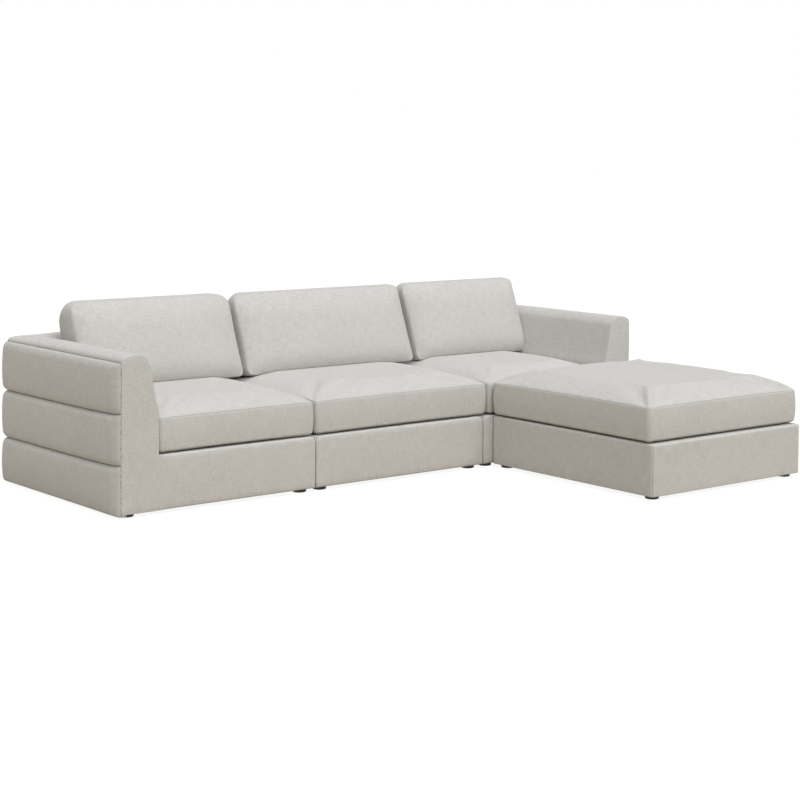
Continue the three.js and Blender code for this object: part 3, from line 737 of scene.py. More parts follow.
# Cloth cells, shapes and reaches of the rolls, in metres, and the share of wadding
ROLL_CELL, ROLL_STEP, ROLL_FILL = 0.012, 0.0045, 0.7
DOME_POWER, UPPER_SHOULDER = 2.2, 1.3
GATHER_REACH, ROLL_UNEVEN, ROLL_EASE = 0.030, 0.0018, 0.001
SEAM_CLIMB, SEAM_CLIMB_REACH, LONG_CLIMB, LONG_CLIMB_REACH = 0.004, 0.022, 0.010, 0.22


def roll_section(low, high, level, fine=60):
    """A dome outside that rounds in to the grooves, flat behind. The lowest roll ends in a tight hem, and
    the highest one's top meets the cap's seam."""
    s = sizes()
    groove = (s.roll_round, s.roll_shoulder)
    cap_seam = (s.roll_bulge - s.roll_dome, s.roll_shoulder * UPPER_SHOULDER)
    foot_in, foot_rise = (s.roll_hem, s.roll_hem) if level == "lower" else groove
    top_in, top_rise = cap_seam if level == "upper" else groove
    start, end = low + foot_rise, high - top_rise
    outline = [(foot_in * (1 - sine), start - foot_rise * cosine) for sine, cosine in quarter(fine)[:-1]]
    outline += [(0.0, start + (end - start) * step / fine) for step in range(fine)]
    outline += [(top_in * (1 - cosine), end + top_rise * sine) for sine, cosine in quarter(fine)]

    def dome(z):
        return s.roll_dome * abs(2 * (z - low) / (high - low) - 1) ** DOME_POWER - s.roll_bulge

    swell = [(dome(z) + inset, z) for inset, z in outline]
    return [*resample(swell, ROLL_STEP), (s.roll_depth, high), (s.roll_depth, low)]


def roll_shape(seed):
    """Rounds a roll in to its end seams, with the small pulls that gather there. The grooves between
    rolls fill up at the seam, and climb a little."""
    s = sizes()
    lowest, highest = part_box("left_lower_roll")[0].z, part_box("left_upper_roll")[1].z

    def shape(u, z, from_end, place, k):
        if u >= s.roll_depth - 1e-6:
            return u, z
        ease = s.roll_end if u < ROLL_EASE else s.roll_end / 3
        away = 1 - min(from_end / ease, 1.0)
        swell = math.sqrt(1 - away * away)
        share = max(ROLL_EASE - u, 0.0) / s.roll_bulge
        pull = ripple(z * 70, from_end * 7, seed) * s.gather * swell * math.exp(-from_end / GATHER_REACH)
        uneven = ripple(place[0] * 4.2, place[1] * 4.2, z * 6 + seed) * ROLL_UNEVEN * swell
        climb = SEAM_CLIMB * math.exp(-((from_end / SEAM_CLIMB_REACH) ** 2))
        climb += LONG_CLIMB * math.exp(-from_end / LONG_CLIMB_REACH)
        climb *= math.sin(math.pi * (z - lowest) / (highest - lowest))
        return ROLL_EASE + (u - ROLL_EASE) * swell - (pull + uneven) * share, z + climb

    return shape


def rolls(side):
    """The three padded rolls of a unit."""
    unit = unit_of(side)
    for k, (level, (low, high)) in enumerate(roll_spans().items()):
        node = f"{side}_{level}_roll"
        cloth = wrapped(unit, roll_section(low, high, level), roll_shape(unit.seed + k * 3.7), ROLL_CELL)
        pad(cloth.piece(f"{node}_cloth", unit.flip), node)


# Inner cover


CAP_ACROSS = (0.0, 0.02, 0.07, 0.2, 0.38, 0.56, 0.76, 0.92)
CAP_UP = (0.0, 0.28, 0.55, 0.8, 0.96, 1.0, 0.82, 0.28)
FACE_HIGH, FACE_LOW, FRAME_SIDE, CAP_LAP = 0.50, 0.43, 0.087, 0.004
INNER_CELL, INNER_STEP, INNER_FILL, INNER_UNEVEN = 0.02, 0.008, 0.5, 0.0012
END_REACH, END_DROP, END_DRAW = 0.009, 0.0028, 0.0022
DIP, DIP_REACH, DIP_PLACE = 0.007, 0.16, 0.06


def cap_line(unit):
    """The wall's outline from the outside seam over the soft cap to its inside face."""
    s = sizes()
    tall = unit.cap - unit.seam
    cap = [(u * s.wall_top, unit.seam + z * tall) for u, z in zip(CAP_ACROSS, CAP_UP)]
    return rounded([*cap, (s.wall_top, s.wall_top_edge), (wall_width(FACE_HIGH), FACE_HIGH)])


def inner_section(unit):
    """The cap, the inside face down to the deck, and the hidden side round the frame."""
    s = sizes()
    face = [(wall_width(height), height) for height in (FACE_HIGH, FACE_LOW)]
    knee = rounded([*face, (s.wall_seat, s.wall_knee), (wall_width(unit.deck), unit.deck)])
    shown = resample([*cap_line(unit), *knee[1:]], INNER_STEP)
    roll, under = s.roll_depth + s.fit, unit.seam - CAP_LAP
    return [*shown, (FRAME_SIDE, unit.deck), (FRAME_SIDE, under), (roll, under), (roll, unit.seam + s.fit)]


def inner_shape(unit, hidden):
    """Draws the cover in a little at its end seams, dips the cap at the corner, and gives the faces a
    soft unevenness."""
    bend = (unit.x0 + DIP_PLACE, unit.rear - DIP_PLACE)

    def shape(u, z, from_end, place, k):
        if k >= hidden:
            return u, z
        edge = 1 - smooth(from_end / END_REACH)
        uneven = ripple(place[0] * 5, place[1] * 5, z * 5 + unit.seed) * INNER_UNEVEN * (1 - edge)
        drop = END_DROP * edge if z > unit.seam + 0.002 else 0.0
        side = END_DRAW * edge if u > sizes().wall_top * 0.8 else 0.0
        if unit.side != "middle" and z > unit.seam:
            near = math.exp(-((math.dist(place, bend) / DIP_REACH) ** 2))
            drop += DIP * near * (z - unit.seam) / (unit.cap - unit.seam)
        return u + uneven - side, z - drop + uneven * 0.5

    return shape


def inner_cover(side):
    """The soft cap of the arm and the back, and their inside faces."""
    unit = unit_of(side)
    node = f"{side}_inner_cover"
    section = inner_section(unit)
    cloth = wrapped(unit, section, inner_shape(unit, len(section) - 4), INNER_CELL)
    pad(cloth.piece(f"{node}_cloth", unit.flip), node)


# Panels


# How far the core and the cloth stand in from a panel's edge, and the panels' edges and cells
CORE_INSET, CLOTH_THICK, PANEL_FILL = 0.002, 0.0008, 0.3
FRONT_RADIUS, FRONT_TIGHT, FRONT_SWELL = 0.010, 0.0028, 0.0018
SIDE_RADIUS, SIDE_THICK, SIDE_FRONT = 0.003, 0.009, 0.0143
CORE_OUTSIDE, CORE_INSIDE, CORE_TOP, CORE_FIT = 0.0256, 0.085, 0.570, 0.001
BASE_BLEND, FRONT_STEP, FRONT_CELL, SIDE_STEP, WEAVE_STEP = 0.05, 0.006, 0.03, 0.01, 0.002


def inward(outline):
    """For each corner of an outline that turns left, the way in, as long as keeps both sides even."""
    normals = []
    for (ax, ay), (bx, by) in zip(outline, [*outline[1:], outline[0]]):
        size = math.hypot(bx - ax, by - ay)
        normals.append(((ay - by) / size, (bx - ax) / size))
    found = []
    for (ax, ay), (bx, by) in zip([normals[-1], *normals], normals):
        scale = 1 / max(1 + ax * bx + ay * by, 0.35)
        found.append(((ax + bx) * scale, (ay + by) * scale))
    return found


def slab(cloth, outline, place, radii, thick, core=None, skins=None, swell=0.0):
    """A padded slab over an outline that turns left, its front edge rounded by a radius at each corner.
    Behind its skin it may shrink to a core. place gives the spot in space of a point of the outline's
    plane at a depth from its front."""
    ways = inward(outline)

    def moved(insets):
        return [(x + wx * by, y + wy * by) for (x, y), (wx, wy), by in zip(outline, ways, insets)]

    def ring(spots, depths):
        return [place(x, y, depth) for (x, y), depth in zip(spots, depths)]

    core = core or moved([CORE_INSET] * len(outline))
    skins = skins or [thick - CORE_INSET] * len(outline)
    outside = moved([CLOTH_THICK] * len(outline))
    rows = [ring(core, [thick] * len(core)), ring(core, skins), ring(outside, skins)]
    for sine, cosine in quarter(6):
        rows.append(ring(moved([r * (1 - cosine) for r in radii]), [r * (1 - sine) for r in radii]))
    for inset, rise in ((0.005, swell * 0.6), (0.012, swell)):
        rows.append(ring(moved([r + inset for r in radii]), [-rise] * len(radii)))

    def weave(i, j):
        (x, y), (wx, wy) = outline[j % len(outline)], ways[j % len(outline)]
        return x + wx * WEAVE_STEP * i, y + wy * WEAVE_STEP * i

    cloth.grid(rows, weave, loop=True)
    cloth.cap(rows[0], outline)
    cloth.cap(rows[-1], outline)


def on_base(unit, x, z):
    """How far a point of the front belongs to the base rail, from 0 to 1."""
    return smooth((x - sizes().wall_seat) / BASE_BLEND) if z < unit.base + CORE_FIT else 0.0


def front_edges(outline, unit):
    """Soft edges round the base rail, tight ones along the arm's seams. With them come the skin's
    thickness, and the core behind it, which keeps clear of the rolls and the inner cover."""
    s = sizes()
    radii, skins, core = [], [], []
    for x, z in outline:
        base = on_base(unit, x, z)
        radii.append(FRONT_TIGHT + (FRONT_RADIUS - FRONT_TIGHT) * base)
        skins.append(s.skin if base < 0.01 else s.panel - CORE_INSET)
        arm = z > unit.base - CORE_FIT / 2 and x < s.wall_seat + CORE_FIT
        inner = min(max(x, CORE_OUTSIDE), CORE_INSIDE) if arm else max(x, CORE_OUTSIDE)
        right, height = unit.x1 - unit.x0 - CORE_INSET, max(z, unit.foot + CORE_FIT)
        core.append((min(inner, right), min(height, CORE_TOP)))
    return radii, skins, core


def front_outline(unit):
    """The flat front of a unit, in its own plan: across from its left side, and up. It turns left."""
    s = sizes()
    width = unit.x1 - unit.x0
    foot_left, foot_right = (0.0, unit.foot), (width, unit.foot)
    top_left, top_right = (0.0, unit.base), (width, unit.base)
    if unit.side == "middle":
        left = rounded_corner(top_right, top_left, foot_left, s.panel_corner)
    else:
        foot = wall_width(unit.base)
        wall = [point for point in resample(cap_line(unit), FRONT_STEP) if point[1] > s.wall_knee]
        left = [(foot, unit.base), (foot, s.wall_knee), *reversed(wall)]
    right = rounded_corner(foot_right, top_right, top_left, s.panel_corner)
    corners = [foot_left, foot_right, *right, *left, foot_left]
    found = []
    for first, second in zip(corners, corners[1:]):
        long = math.dist(first, second) > 2 * FRONT_CELL
        found.extend(resample([first, second], FRONT_CELL)[:-1] if long else [first])
    return found


def rounded_corner(before, corner, after, radius, steps=5):
    """A corner of an outline, rounded."""
    ends = []
    for point in (before, after):
        share = radius / math.dist(point, corner)
        ends.append([c + (p - c) * share for p, c in zip(point, corner)])
    found = []
    for t in (step / steps for step in range(steps + 1)):
        parts = zip(ends[0], corner, ends[1])
        found.append(tuple(a * (1 - t) ** 2 + 2 * c * t * (1 - t) + b * t * t for a, c, b in parts))
    return found


def side_outline(unit):
    """The panel where units meet, in its own plan: back from the front, and up. It turns left."""
    depth, top, foot = unit.rear - unit.front, unit.base - CORE_FIT, unit.foot + CORE_FIT
    inner = depth - wall_width(top)
    wall = [(depth - u, z) for u, z in resample(cap_line(unit), SIDE_STEP)]
    base = [(inner, sizes().wall_knee), (inner, top), (SIDE_FRONT, top)]
    return [(SIDE_FRONT, foot), (depth, foot), *wall, *base]


def front_cover(side):
    """The front panel, and the side panels where this unit meets its neighbours."""
    unit = unit_of(side)
    node = f"{side}_front_cover"
    cloth = Cloth()
    outline = front_outline(unit)
    radii, skins, core = [FRONT_RADIUS] * len(outline), None, None
    if side != "middle":
        radii, skins, core = front_edges(outline, unit)

    def front(x, z, depth):
        return unit.x0 + x, unit.front + depth, z

    slab(cloth, outline, front, radii, sizes().panel, core, skins, FRONT_SWELL)
    panel = side_outline(unit)
    thin = [SIDE_RADIUS] * len(panel)
    slab(cloth, panel, lambda y, z, d: (unit.x1 - d, unit.front + y, z), thin, SIDE_THICK)
    if side == "middle":
        slab(cloth, panel, lambda y, z, d: (unit.x0 + d, unit.front + y, z), thin, SIDE_THICK)
    pad(cloth.piece(f"{node}_cloth", unit.flip), node)


# Ottoman cover and deck pads


BOX_CORNER, BOX_CELL, BAND_TOP, BAND_BOTTOM = 0.012, 0.02, 0.010, 0.004
CREASE, CREASE_REACH, BAND_UNEVEN, BAND_SWELL = 0.0016, 0.003, 0.0011, 0.002
PAD_RADIUS, PAD_FILL = 0.008, 0.4


def box_stations(low, high, radius, cell, steps=8):
    """Places round a rectangle with round corners, each with the distance to the nearest corner's seam."""

    def bend(k, share, u):
        reach = max(radius, u + 0.001)
        x = high.x - reach if k % 4 in (0, 1) else low.x + reach
        y = high.y - reach if k % 4 in (1, 2) else low.y + reach
        angle = math.radians(90 * (k - 1 + share))
        return x + (reach - u) * math.cos(angle), y + (reach - u) * math.sin(angle)

    def side(k, share, u):
        return [a + (b - a) * share for a, b in zip(bend(k, 1, u), bend(k + 1, 0, u))]

    found = []
    for k in range(4):
        for share in (step / steps for step in range(steps + 1)):
            found.append((partial(bend, k, share), abs(share - 0.5) * radius * math.pi / 2))
        span = (high - low)[1 - k % 2] - 2 * radius
        count = max(2, round(span / cell))
        for share in (step / count for step in range(1, count)):
            found.append((partial(side, k, share), radius * math.pi / 4 + min(share, 1 - share) * span))
    return found


def band_section(low, high, thick):
    """An upright band with a soft top edge and a tighter bottom edge."""
    start, end = low + BAND_BOTTOM, high - BAND_TOP
    foot = [(BAND_BOTTOM * (1 - sine), start - BAND_BOTTOM * cosine) for sine, cosine in quarter(6)]
    rise = resample([(0.0, start), (0.0, end)], 0.02)[1:-1]
    head = [(BAND_TOP * (1 - cosine), end + BAND_TOP * sine) for sine, cosine in quarter(6)]
    return [*foot, *rise, *head, (thick, high), (thick, low)]


def ottoman_cover():
    """One band sewn round all four sides, with a seam at each corner."""
    thick = sizes().panel
    low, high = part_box("ottoman_cover")
    section = band_section(low.z, high.z, thick)
    stations = box_stations(low, high, BOX_CORNER, BOX_CELL)
    stations.append(stations[0])
    spans = lengths_along([place(0.0) for place, _ in stations])
    girth = lengths_along([*section, section[0]])
    rows = []
    for place, seam in stations:
        x, y = place(0.0)
        crease = CREASE * math.exp(-((seam / CREASE_REACH) ** 2))
        row = []
        for u, z in section:
            inset = crease - ripple(x * 4, y * 4, z * 5) * BAND_UNEVEN if u < thick / 2 else 0.0
            row.append((*place(max(u + inset, -BAND_SWELL)), z))
        rows.append(row)

    def seam_at(i, j):
        return stations[i][1] if section[j][0] < thick / 2 else 1.0

    cloth = Cloth()
    cloth.grid(rows, lambda i, j: (spans[i], girth[j]), seam_at, loop=True)
    pad(cloth.piece("ottoman_cover_cloth"), "ottoman_cover")


def deck_pad(side):
    """The thin pad on the webbing that a seat cushion lies on, cut off at the unit's rear corner."""
    node = f"{side}_deck_pad"
    low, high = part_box(node)
    outline = [(low.x, low.y), (high.x, low.y), (high.x, high.y), (low.x, high.y)]
    if side in ("left", "right"):
        leg = sizes().inner_corner
        outline[3:] = [(low.x + leg, high.y), (low.x, high.y - leg)]
    cloth = Cloth()
    slab(cloth, outline, lambda x, y, d: (x, y, high.z - d), [PAD_RADIUS] * len(outline), high.z - low.z)
    pad(cloth.piece(f"{node}_cloth", (low.x + high.x) / 2 if side == "right" else None), node)


# Cushions


CROWN_REACH, CROWN_QUICK, FULL_REACH, FULL_QUICK, SOLE_REACH = 0.085, 0.66, 0.062, 0.88, 0.03
CUSHION_EDGE, PANEL_GROWTH, BORDER_GROWTH = 0.004, 1.3, 1.4


def crown(distance, share, reach=CROWN_REACH, quick=CROWN_QUICK):
    """How far a panel has swollen at a distance, or a share of the way, in from its seam: round near the
    seam, then a slow dome."""
    edge = 1 - (1 - min(distance / reach, 1.0)) ** 2.6
    return quick * edge + (1 - quick) * (1 - (1 - min(max(share, 0.0), 1.0)) ** 3)


def full_crown(distance, share):
    """The same for the ottoman, whose cushion stays full as far as its edges."""
    return crown(distance, share, FULL_REACH, FULL_QUICK)


def sole(distance, share):
    """The same for the underside of a seat cushion, which is flat but for its edge."""
    return 1 - (1 - min(distance / SOLE_REACH, 1.0)) ** 2.4


class Border:
    """The outline of a cushion's panels: half its size, how far its sides draw in, how far the border
    swells, and for both panels the radii of the lower, the upper left and the upper right corners."""

    def __init__(self, half, corners, bulge, waists=(1.0, 1.0)):
        self.half = half
        self.corners = corners
        self.bulge = bulge
        self.waists = [sizes().waist * share for share in waists]

    def place(self, x, y, level, grow=0.0):
        """A point of the square grid on the panel: round at the corners, drawn in along the sides."""
        wide, deep = self.half
        a, b = wide + grow, deep + grow
        x, y = x * a / wide, y * b / deep
        first, second = (radii[1 + (x > 0) if y > 0 else 0] for radii in self.corners)
        corner = first + (second - first) * level
        px, py = abs(x) - (a - corner), abs(y) - (b - corner)
        if px > 0 and py > 0:
            scale = max(px, py) / math.hypot(px, py)
            x = math.copysign(a - corner + px * scale, x)
            y = math.copysign(b - corner + py * scale, y)
        pull_x = self.waists[0] * (1 - (y / b) ** 2) * abs(x) / a
        pull_y = self.waists[y > 0] * (1 - (x / a) ** 2) * abs(y) / b
        return x - math.copysign(pull_x, x), y - math.copysign(pull_y, y)


def cushion_cloth(border, thick, place, swellings):
    """A boxed cushion: two panels and the border sewn between them. place puts a point of the panel's
    plane in space, from its level between the panels (0 to 1) and how far its panel has swollen."""
    cell = sizes().grid
    wide, deep = border.half
    spans = [graded(2 * half, cell, CUSHION_EDGE, PANEL_GROWTH) for half in border.half]
    xs, ys = ([at - half for at in span] for span, half in zip(spans, border.half))

    def on_panel(x, y, level):
        dx, dy = wide - abs(x), deep - abs(y)
        swelling = swellings[level]
        return place(*border.place(x, y, level), level, swelling(dx, dx / wide) * swelling(dy, dy / deep))

    def panel_seam(i, j):
        return min(wide - abs(xs[j]), deep - abs(ys[i]))

    cloth = Cloth()
    for level in (0, 1):
        rows = [[on_panel(x, y, level) for x in xs] for y in ys]
        cloth.grid(rows, lambda i, j: (xs[j], ys[i]), panel_seam)
    rim = [(x, ys[0]) for x in xs[:-1]] + [(xs[-1], y) for y in ys[:-1]]
    rim += [(x, ys[-1]) for x in reversed(xs[1:])] + [(xs[0], y) for y in reversed(ys[1:])]
    rim.append(rim[0])
    run = lengths_along(rim)
    levels = [at / thick for at in graded(thick, cell, CUSHION_EDGE, BORDER_GROWTH)]

    def on_border(x, y, level):
        swell = border.bulge * math.sin(math.pi * level)
        return place(*border.place(x, y, level, swell), level, 0.0)

    def border_seam(i, j):
        return min(levels[i], 1 - levels[i]) * thick

    rows = [[on_border(x, y, level) for x, y in rim] for level in levels]
    cloth.grid(rows, lambda i, j: (run[j], levels[i] * thick), border_seam)
    return cloth


OTTOMAN_RISE = 0.86
OTTOMAN_SEAM_LIFT = 0.006
# faint lifts the seam distance of the back cushions, so their seams show less painted shade.
BACK_STITCHES = {"deep": 0.0008, "gather": 0.0012, "faint": 0.0012}


def seat_cushion(node):
    """A loose seat cushion: a crowned top, a flat underside and a straight border with two seams."""
    s = sizes()
    low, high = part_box(node)
    ottoman = node == "ottoman_cushion"
    seam_low, seam_high = s.seat_seam_low, s.seat_seam_high + OTTOMAN_SEAM_LIFT * ottoman
    middle = (low + high) / 2
    half = ((high.x - low.x) / 2 - s.border_bulge, (high.y - low.y) / 2 - s.border_bulge)
    rise, drop = (high.z - seam_high) * (OTTOMAN_RISE if ottoman else 1.0), seam_low - low.z
    thick = seam_high - seam_low

    def place(x, y, level, swell):
        height = seam_low + thick * level + (rise if level == 1 else -drop) * swell
        return middle.x + x, middle.y + y, height

    border = Border(half, [[s.seat_corner] * 3] * 2, s.border_bulge)
    top = full_crown if ottoman else crown
    return cushion_cloth(border, thick, place, (sole, top)).piece(f"{node}_cloth")


BACKS = {
    "left": SimpleNamespace(
        span=(-1.210, -0.430),
        tall=0.339,
        taper=0.012,
        rear_corners=(0.085, 0.110),
        front_corners=(0.046, 0.052),
    ),
    "middle": SimpleNamespace(
        span=(-0.428, 0.498),
        tall=0.335,
        taper=0.012,
        rear_corners=(0.135, 0.038),
        front_corners=(0.046, 0.022),
    ),
    "right": SimpleNamespace(
        span=(0.500, 1.205),
        tall=0.337,
        taper=0.022,
        rear_corners=(0.105, 0.034),
        front_corners=(0.046, 0.024),
    ),
}
BACK_FRONT_SEAMS, BACK_REAR_SEAMS = (0.384, 0.252), (0.206, 0.124)
BACK_FRONT_CROWN, BACK_REAR_CROWN = 0.047, 0.034
BACK_FOOT, BACK_FALL, BACK_THICK = 0.402, 0.014, 0.15


def back_cushion(side):
    """A loose back cushion that leans back: a wedge with a full front and its foot on the seat."""
    s = sizes()
    unit, back = unit_of(side), BACKS[side]
    left, right = back.span
    half = ((right - left) / 2 - s.back_bulge, back.tall / 2)

    def place(x, b, level, swell):
        share = b / back.tall + 0.5
        front, rear = (foot + (top - foot) * share for foot, top in (BACK_FRONT_SEAMS, BACK_REAR_SEAMS))
        crowned = BACK_FRONT_CROWN if level == 1 else -BACK_REAR_CROWN
        inset = rear + (front - rear) * level + crowned * swell
        x += back.taper * (1 - level) * max(-x / half[0], 0.0)
        height = BACK_FOOT + (back.tall - BACK_FALL * (1 - level)) * share
        return (left + right) / 2 + x, unit.rear - inset, height

    corners = [(s.back_corner_low, *upper) for upper in (back.rear_corners, back.front_corners)]
    border = Border(half, corners, s.back_bulge, (1.0, 0.0))
    return cushion_cloth(border, BACK_THICK, place, (crown, crown)).piece(f"{side}_back_cushion_cloth")


def clear_arm(piece, side, gap=0.001):
    """Presses a back cushion in where it would run into the arm beside it."""
    unit = unit_of(side)
    for vertex in piece.data.vertices:
        face = wall_width(vertex.co.z) + gap
        if side == "left":
            vertex.co.x = max(vertex.co.x, unit.x0 + face)
        if side == "right":
            vertex.co.x = min(vertex.co.x, unit.x1 - face)


INFLATION = {
    "quality": 7,
    "mass": 0.25,
    "tension_stiffness": 30,
    "compression_stiffness": 12,
    "shear_stiffness": 12,
    "bending_stiffness": 1.2,
    "shrink_min": 0.0,
    "use_pressure": True,
    "uniform_pressure_force": 1.1,
    "vertex_group_mass": "seams",
}


def inflate(pieces, frames=18):
    """Blows the cushions up as cloth, held at their seams, so that the cloth finds its own soft folds."""
    for piece in pieces:
        held = [i for i, part in enumerate(piece.data.attributes["seam"].data) if part.value < 0.0005]
        piece.vertex_groups.new(name="seams").add(held, 1.0, "REPLACE")
        modifier = piece.modifiers.new("Cloth", "CLOTH")
        for name, value in INFLATION.items():
            setattr(modifier.settings, name, value)
        modifier.settings.effector_weights.gravity = 0.0
        modifier.collision_settings.use_collision = False
        modifier.point_cache.frame_end = frames
    for frame_number in range(1, frames + 1):
        bpy.context.scene.frame_set(frame_number)
    for piece, mesh in zip(pieces, [baked(piece) for piece in pieces]):
        piece.vertex_groups.clear()
        settled(piece, mesh)
    bpy.context.scene.frame_set(1)


def keep_inside(piece, low, high):
    """Holds a piece inside a box."""
    for vertex in piece.data.vertices:
        for k in range(3):
            vertex.co[k] = min(max(vertex.co[k], low[k]), high[k])


def settle_on(piece, support, gap=0.0006):
    """Lifts the points of a piece that lie inside what it stands on."""
    tree = BVHTree.FromObject(support, bpy.context.evaluated_depsgraph_get())
    for vertex in piece.data.vertices:
        top, _, _, _ = tree.ray_cast(Vector((vertex.co.x, vertex.co.y, 1.0)), Vector((0, 0, -1)))
        if top and vertex.co.z < top.z + gap:
            vertex.co.z = top.z + gap


def subdivide(piece):
    """One smooth subdivision, applied."""
    modifier = piece.modifiers.new("Subdivision", "SUBSURF")
    modifier.levels = modifier.render_levels = 1
    settled(piece, baked(piece))


SUNK_REACH, GATHERED_REACH, GATHERED_START, STITCHED = 0.0035, 0.022, 0.006, 0.08


def stitch(piece, deep=0.0013, gather=0.0012, faint=0.0):
    """Draws the cloth in along the seams, and gathers it there in small irregular pulls. A faint seam
    shows less of its dark line, which is painted shade."""
    mesh = piece.data
    normals = [vertex.normal.copy() for vertex in mesh.vertices]
    for vertex, normal, part in zip(mesh.vertices, normals, mesh.attributes["seam"].data):
        if part.value > STITCHED:
            continue
        sunk = deep * math.exp(-((part.value / SUNK_REACH) ** 2))
        pulled = gather * math.exp(-part.value / GATHERED_REACH) * smooth(part.value / GATHERED_START)
        vertex.co -= normal * (sunk - ripple(*(vertex.co * 34)) * pulled)
        # Lifting the seam distance weakens the painted shade that the cloth's shader draws along the seam.
        part.value = max(part.value, faint)


# Underside and zips

# Straps each way, their width, thickness and rise over each other, and where that rise is full
STRAPS, STRAP_WIDTH, STRAP_THICK, STRAP_WEAVE, STRAP_FLAT = 4, 0.050, 0.0011, 0.00065, 0.52
STAPLE, STAPLE_SPACING, STAPLE_INSET, STAPLE_TURN = (0.0110, 0.0012, 0.0005), 0.055, 0.012, 0.12
CORNER_LEFT_OUT, FOOT_LEFT_OUT, STAPLE_SINK = 0.03, 0.040, 0.00005
DUST_CELL, DUST_HOLE, DUST_THICK, DUST_RISE, DUST_PUCKER = 0.02, 0.006, 0.0004, 0.0007, 0.0003
TOOTH, TOOTH_SPACING, ZIP_END, ZIP_STEPS = (0.0013, 0.0016, 0.0044), 0.0024, 0.06, 60


def add(piece, body):
    """A piece that stands for no node rides on a body."""
    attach(piece, body)


def webbing(side, recipe):
    """Straps both ways over the rails, woven over and under each other."""
    node = f"{side}_webbing"
    low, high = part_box(node)
    size, height = high - low, (low.z + high.z) / 2
    points, edges = [], []
    for axis, across in ((0, 1), (1, 0)):
        for k in range(STRAPS):
            aside = low[across] + size[across] * (k + 0.5) / STRAPS
            line = []
            for m in range(STRAPS):
                middle = low[axis] + size[axis] * (m + 0.5) / STRAPS
                rise = STRAP_WEAVE * (-1) ** (k + m + axis)
                line += [(middle + d * STRAP_WIDTH * STRAP_FLAT, rise) for d in (-1, 0, 1)]
            line = [(low[axis], line[0][1]), *line, (high[axis], line[-1][1])]
            first = len(points)
            for at, rise in line:
                points.append((at, aside, height + rise) if axis == 0 else (aside, at, height + rise))
            edges += [(first + i, first + i + 1) for i in range(len(line) - 1)]
    values = {"Width": STRAP_WIDTH, "Thickness": STRAP_THICK, "Finish": finish_of("strapping")}
    made = dress(recipe.grow(f"{node}_straps", points, edges, values), node, "strapping")


def breaks(start, end, cell, centres, half):
    """Grid lines from start to end, with a cell of its own round each centre."""
    fixed = sorted({start, end, *(centre + d for centre in centres for d in (-half, half))})
    found = []
    for first, second in zip(fixed, fixed[1:]):
        count = max(1, round((second - first) / cell))
        found += [first + (second - first) * i / count for i in range(count)]
    return [*found, end]


def feet_of(side):
    """The middles of a unit's feet, in plan."""
    found = []
    for name in sorted(frame["nodes"]):
        if name.startswith(f"{side}_foot_"):
            low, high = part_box(name)
            found.append((round((low.x + high.x) / 2, 4), round((low.y + high.y) / 2, 4)))
    return found


def dust_cover(side, recipe):
    """The thin cloth under a unit, open round the feet's studs, puckered at its staples."""
    node = f"{side}_dust_cover"
    low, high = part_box(node)
    feet = feet_of(side)
    xs = breaks(low.x, high.x, DUST_CELL, {x for x, _ in feet}, DUST_HOLE)
    ys = breaks(low.y, high.y, DUST_CELL, {y for _, y in feet}, DUST_HOLE)
    cloth = Cloth()
    for y in ys:
        for x in xs:
            edge = min(x - low.x, high.x - x, y - low.y, high.y - y)
            pucker = ripple(x * 30, y * 30) * DUST_PUCKER * math.exp(-edge / 0.05)
            rise = DUST_RISE + pucker + ripple(x * 5, y * 5, 3.0) * 0.0002
            cloth.points.append((x, y, low.z + rise))
            cloth.seams.append(1.0)
    area = 0.0
    for i, (y0, y1) in enumerate(zip(ys, ys[1:])):
        for j, (x0, x1) in enumerate(zip(xs, xs[1:])):
            middle = ((x0 + x1) / 2, (y0 + y1) / 2)
            if any(math.dist(middle, foot_at) < DUST_HOLE * 0.8 for foot_at in feet):
                continue
            first = i * len(xs) + j
            cloth.faces.append((first, first + 1, first + len(xs) + 1, first + len(xs)))
            cloth.weave.append([(x0, y0), (x1, y0), (x1, y1), (x0, y1)])
            area += (x1 - x0) * (y1 - y0)
    made = dress(cloth.piece(f"{node}_cloth"), node, "dust_cloth")
    made.modifiers.new("Solidify", "SOLIDIFY").thickness = DUST_THICK
    staples(side, recipe, low, high, feet)


def staples(side, recipe, low, high, feet):
    """A row of staples round a dust cover, which leaves out its corners and the feet."""
    x0, y0 = low.x + STAPLE_INSET, low.y + STAPLE_INSET
    x1, y1 = high.x - STAPLE_INSET, high.y - STAPLE_INSET
    leg = CORNER_LEFT_OUT
    sides = (
        ((x0 + leg, y0), (x1 - leg, y0)),
        ((x1, y0 + leg), (x1, y1 - leg)),
        ((x1 - leg, y1), (x0 + leg, y1)),
        ((x0, y1 - leg), (x0, y0 + leg)),
    )
    index, edges = {}, []
    for ends in sides:
        line = resample(ends, 0.01)
        for pair in zip(line, line[1:]):
            if min(math.dist(end, foot_at) for end in pair for foot_at in feet) >= FOOT_LEFT_OUT:
                edges.append(tuple(index.setdefault(end, len(index)) for end in pair))
    points = [(*spot, low.z - STAPLE_SINK) for spot in index]
    values = {"Spacing": STAPLE_SPACING, "Size": STAPLE, "Turn": STAPLE_TURN, "Seed": 3}
    made = recipe.grow(f"{side}_staples", points, edges, {**values, "Finish": finish_of("steel")})
    add(made, "ottoman" if side == "ottoman" else f"{side}_unit")


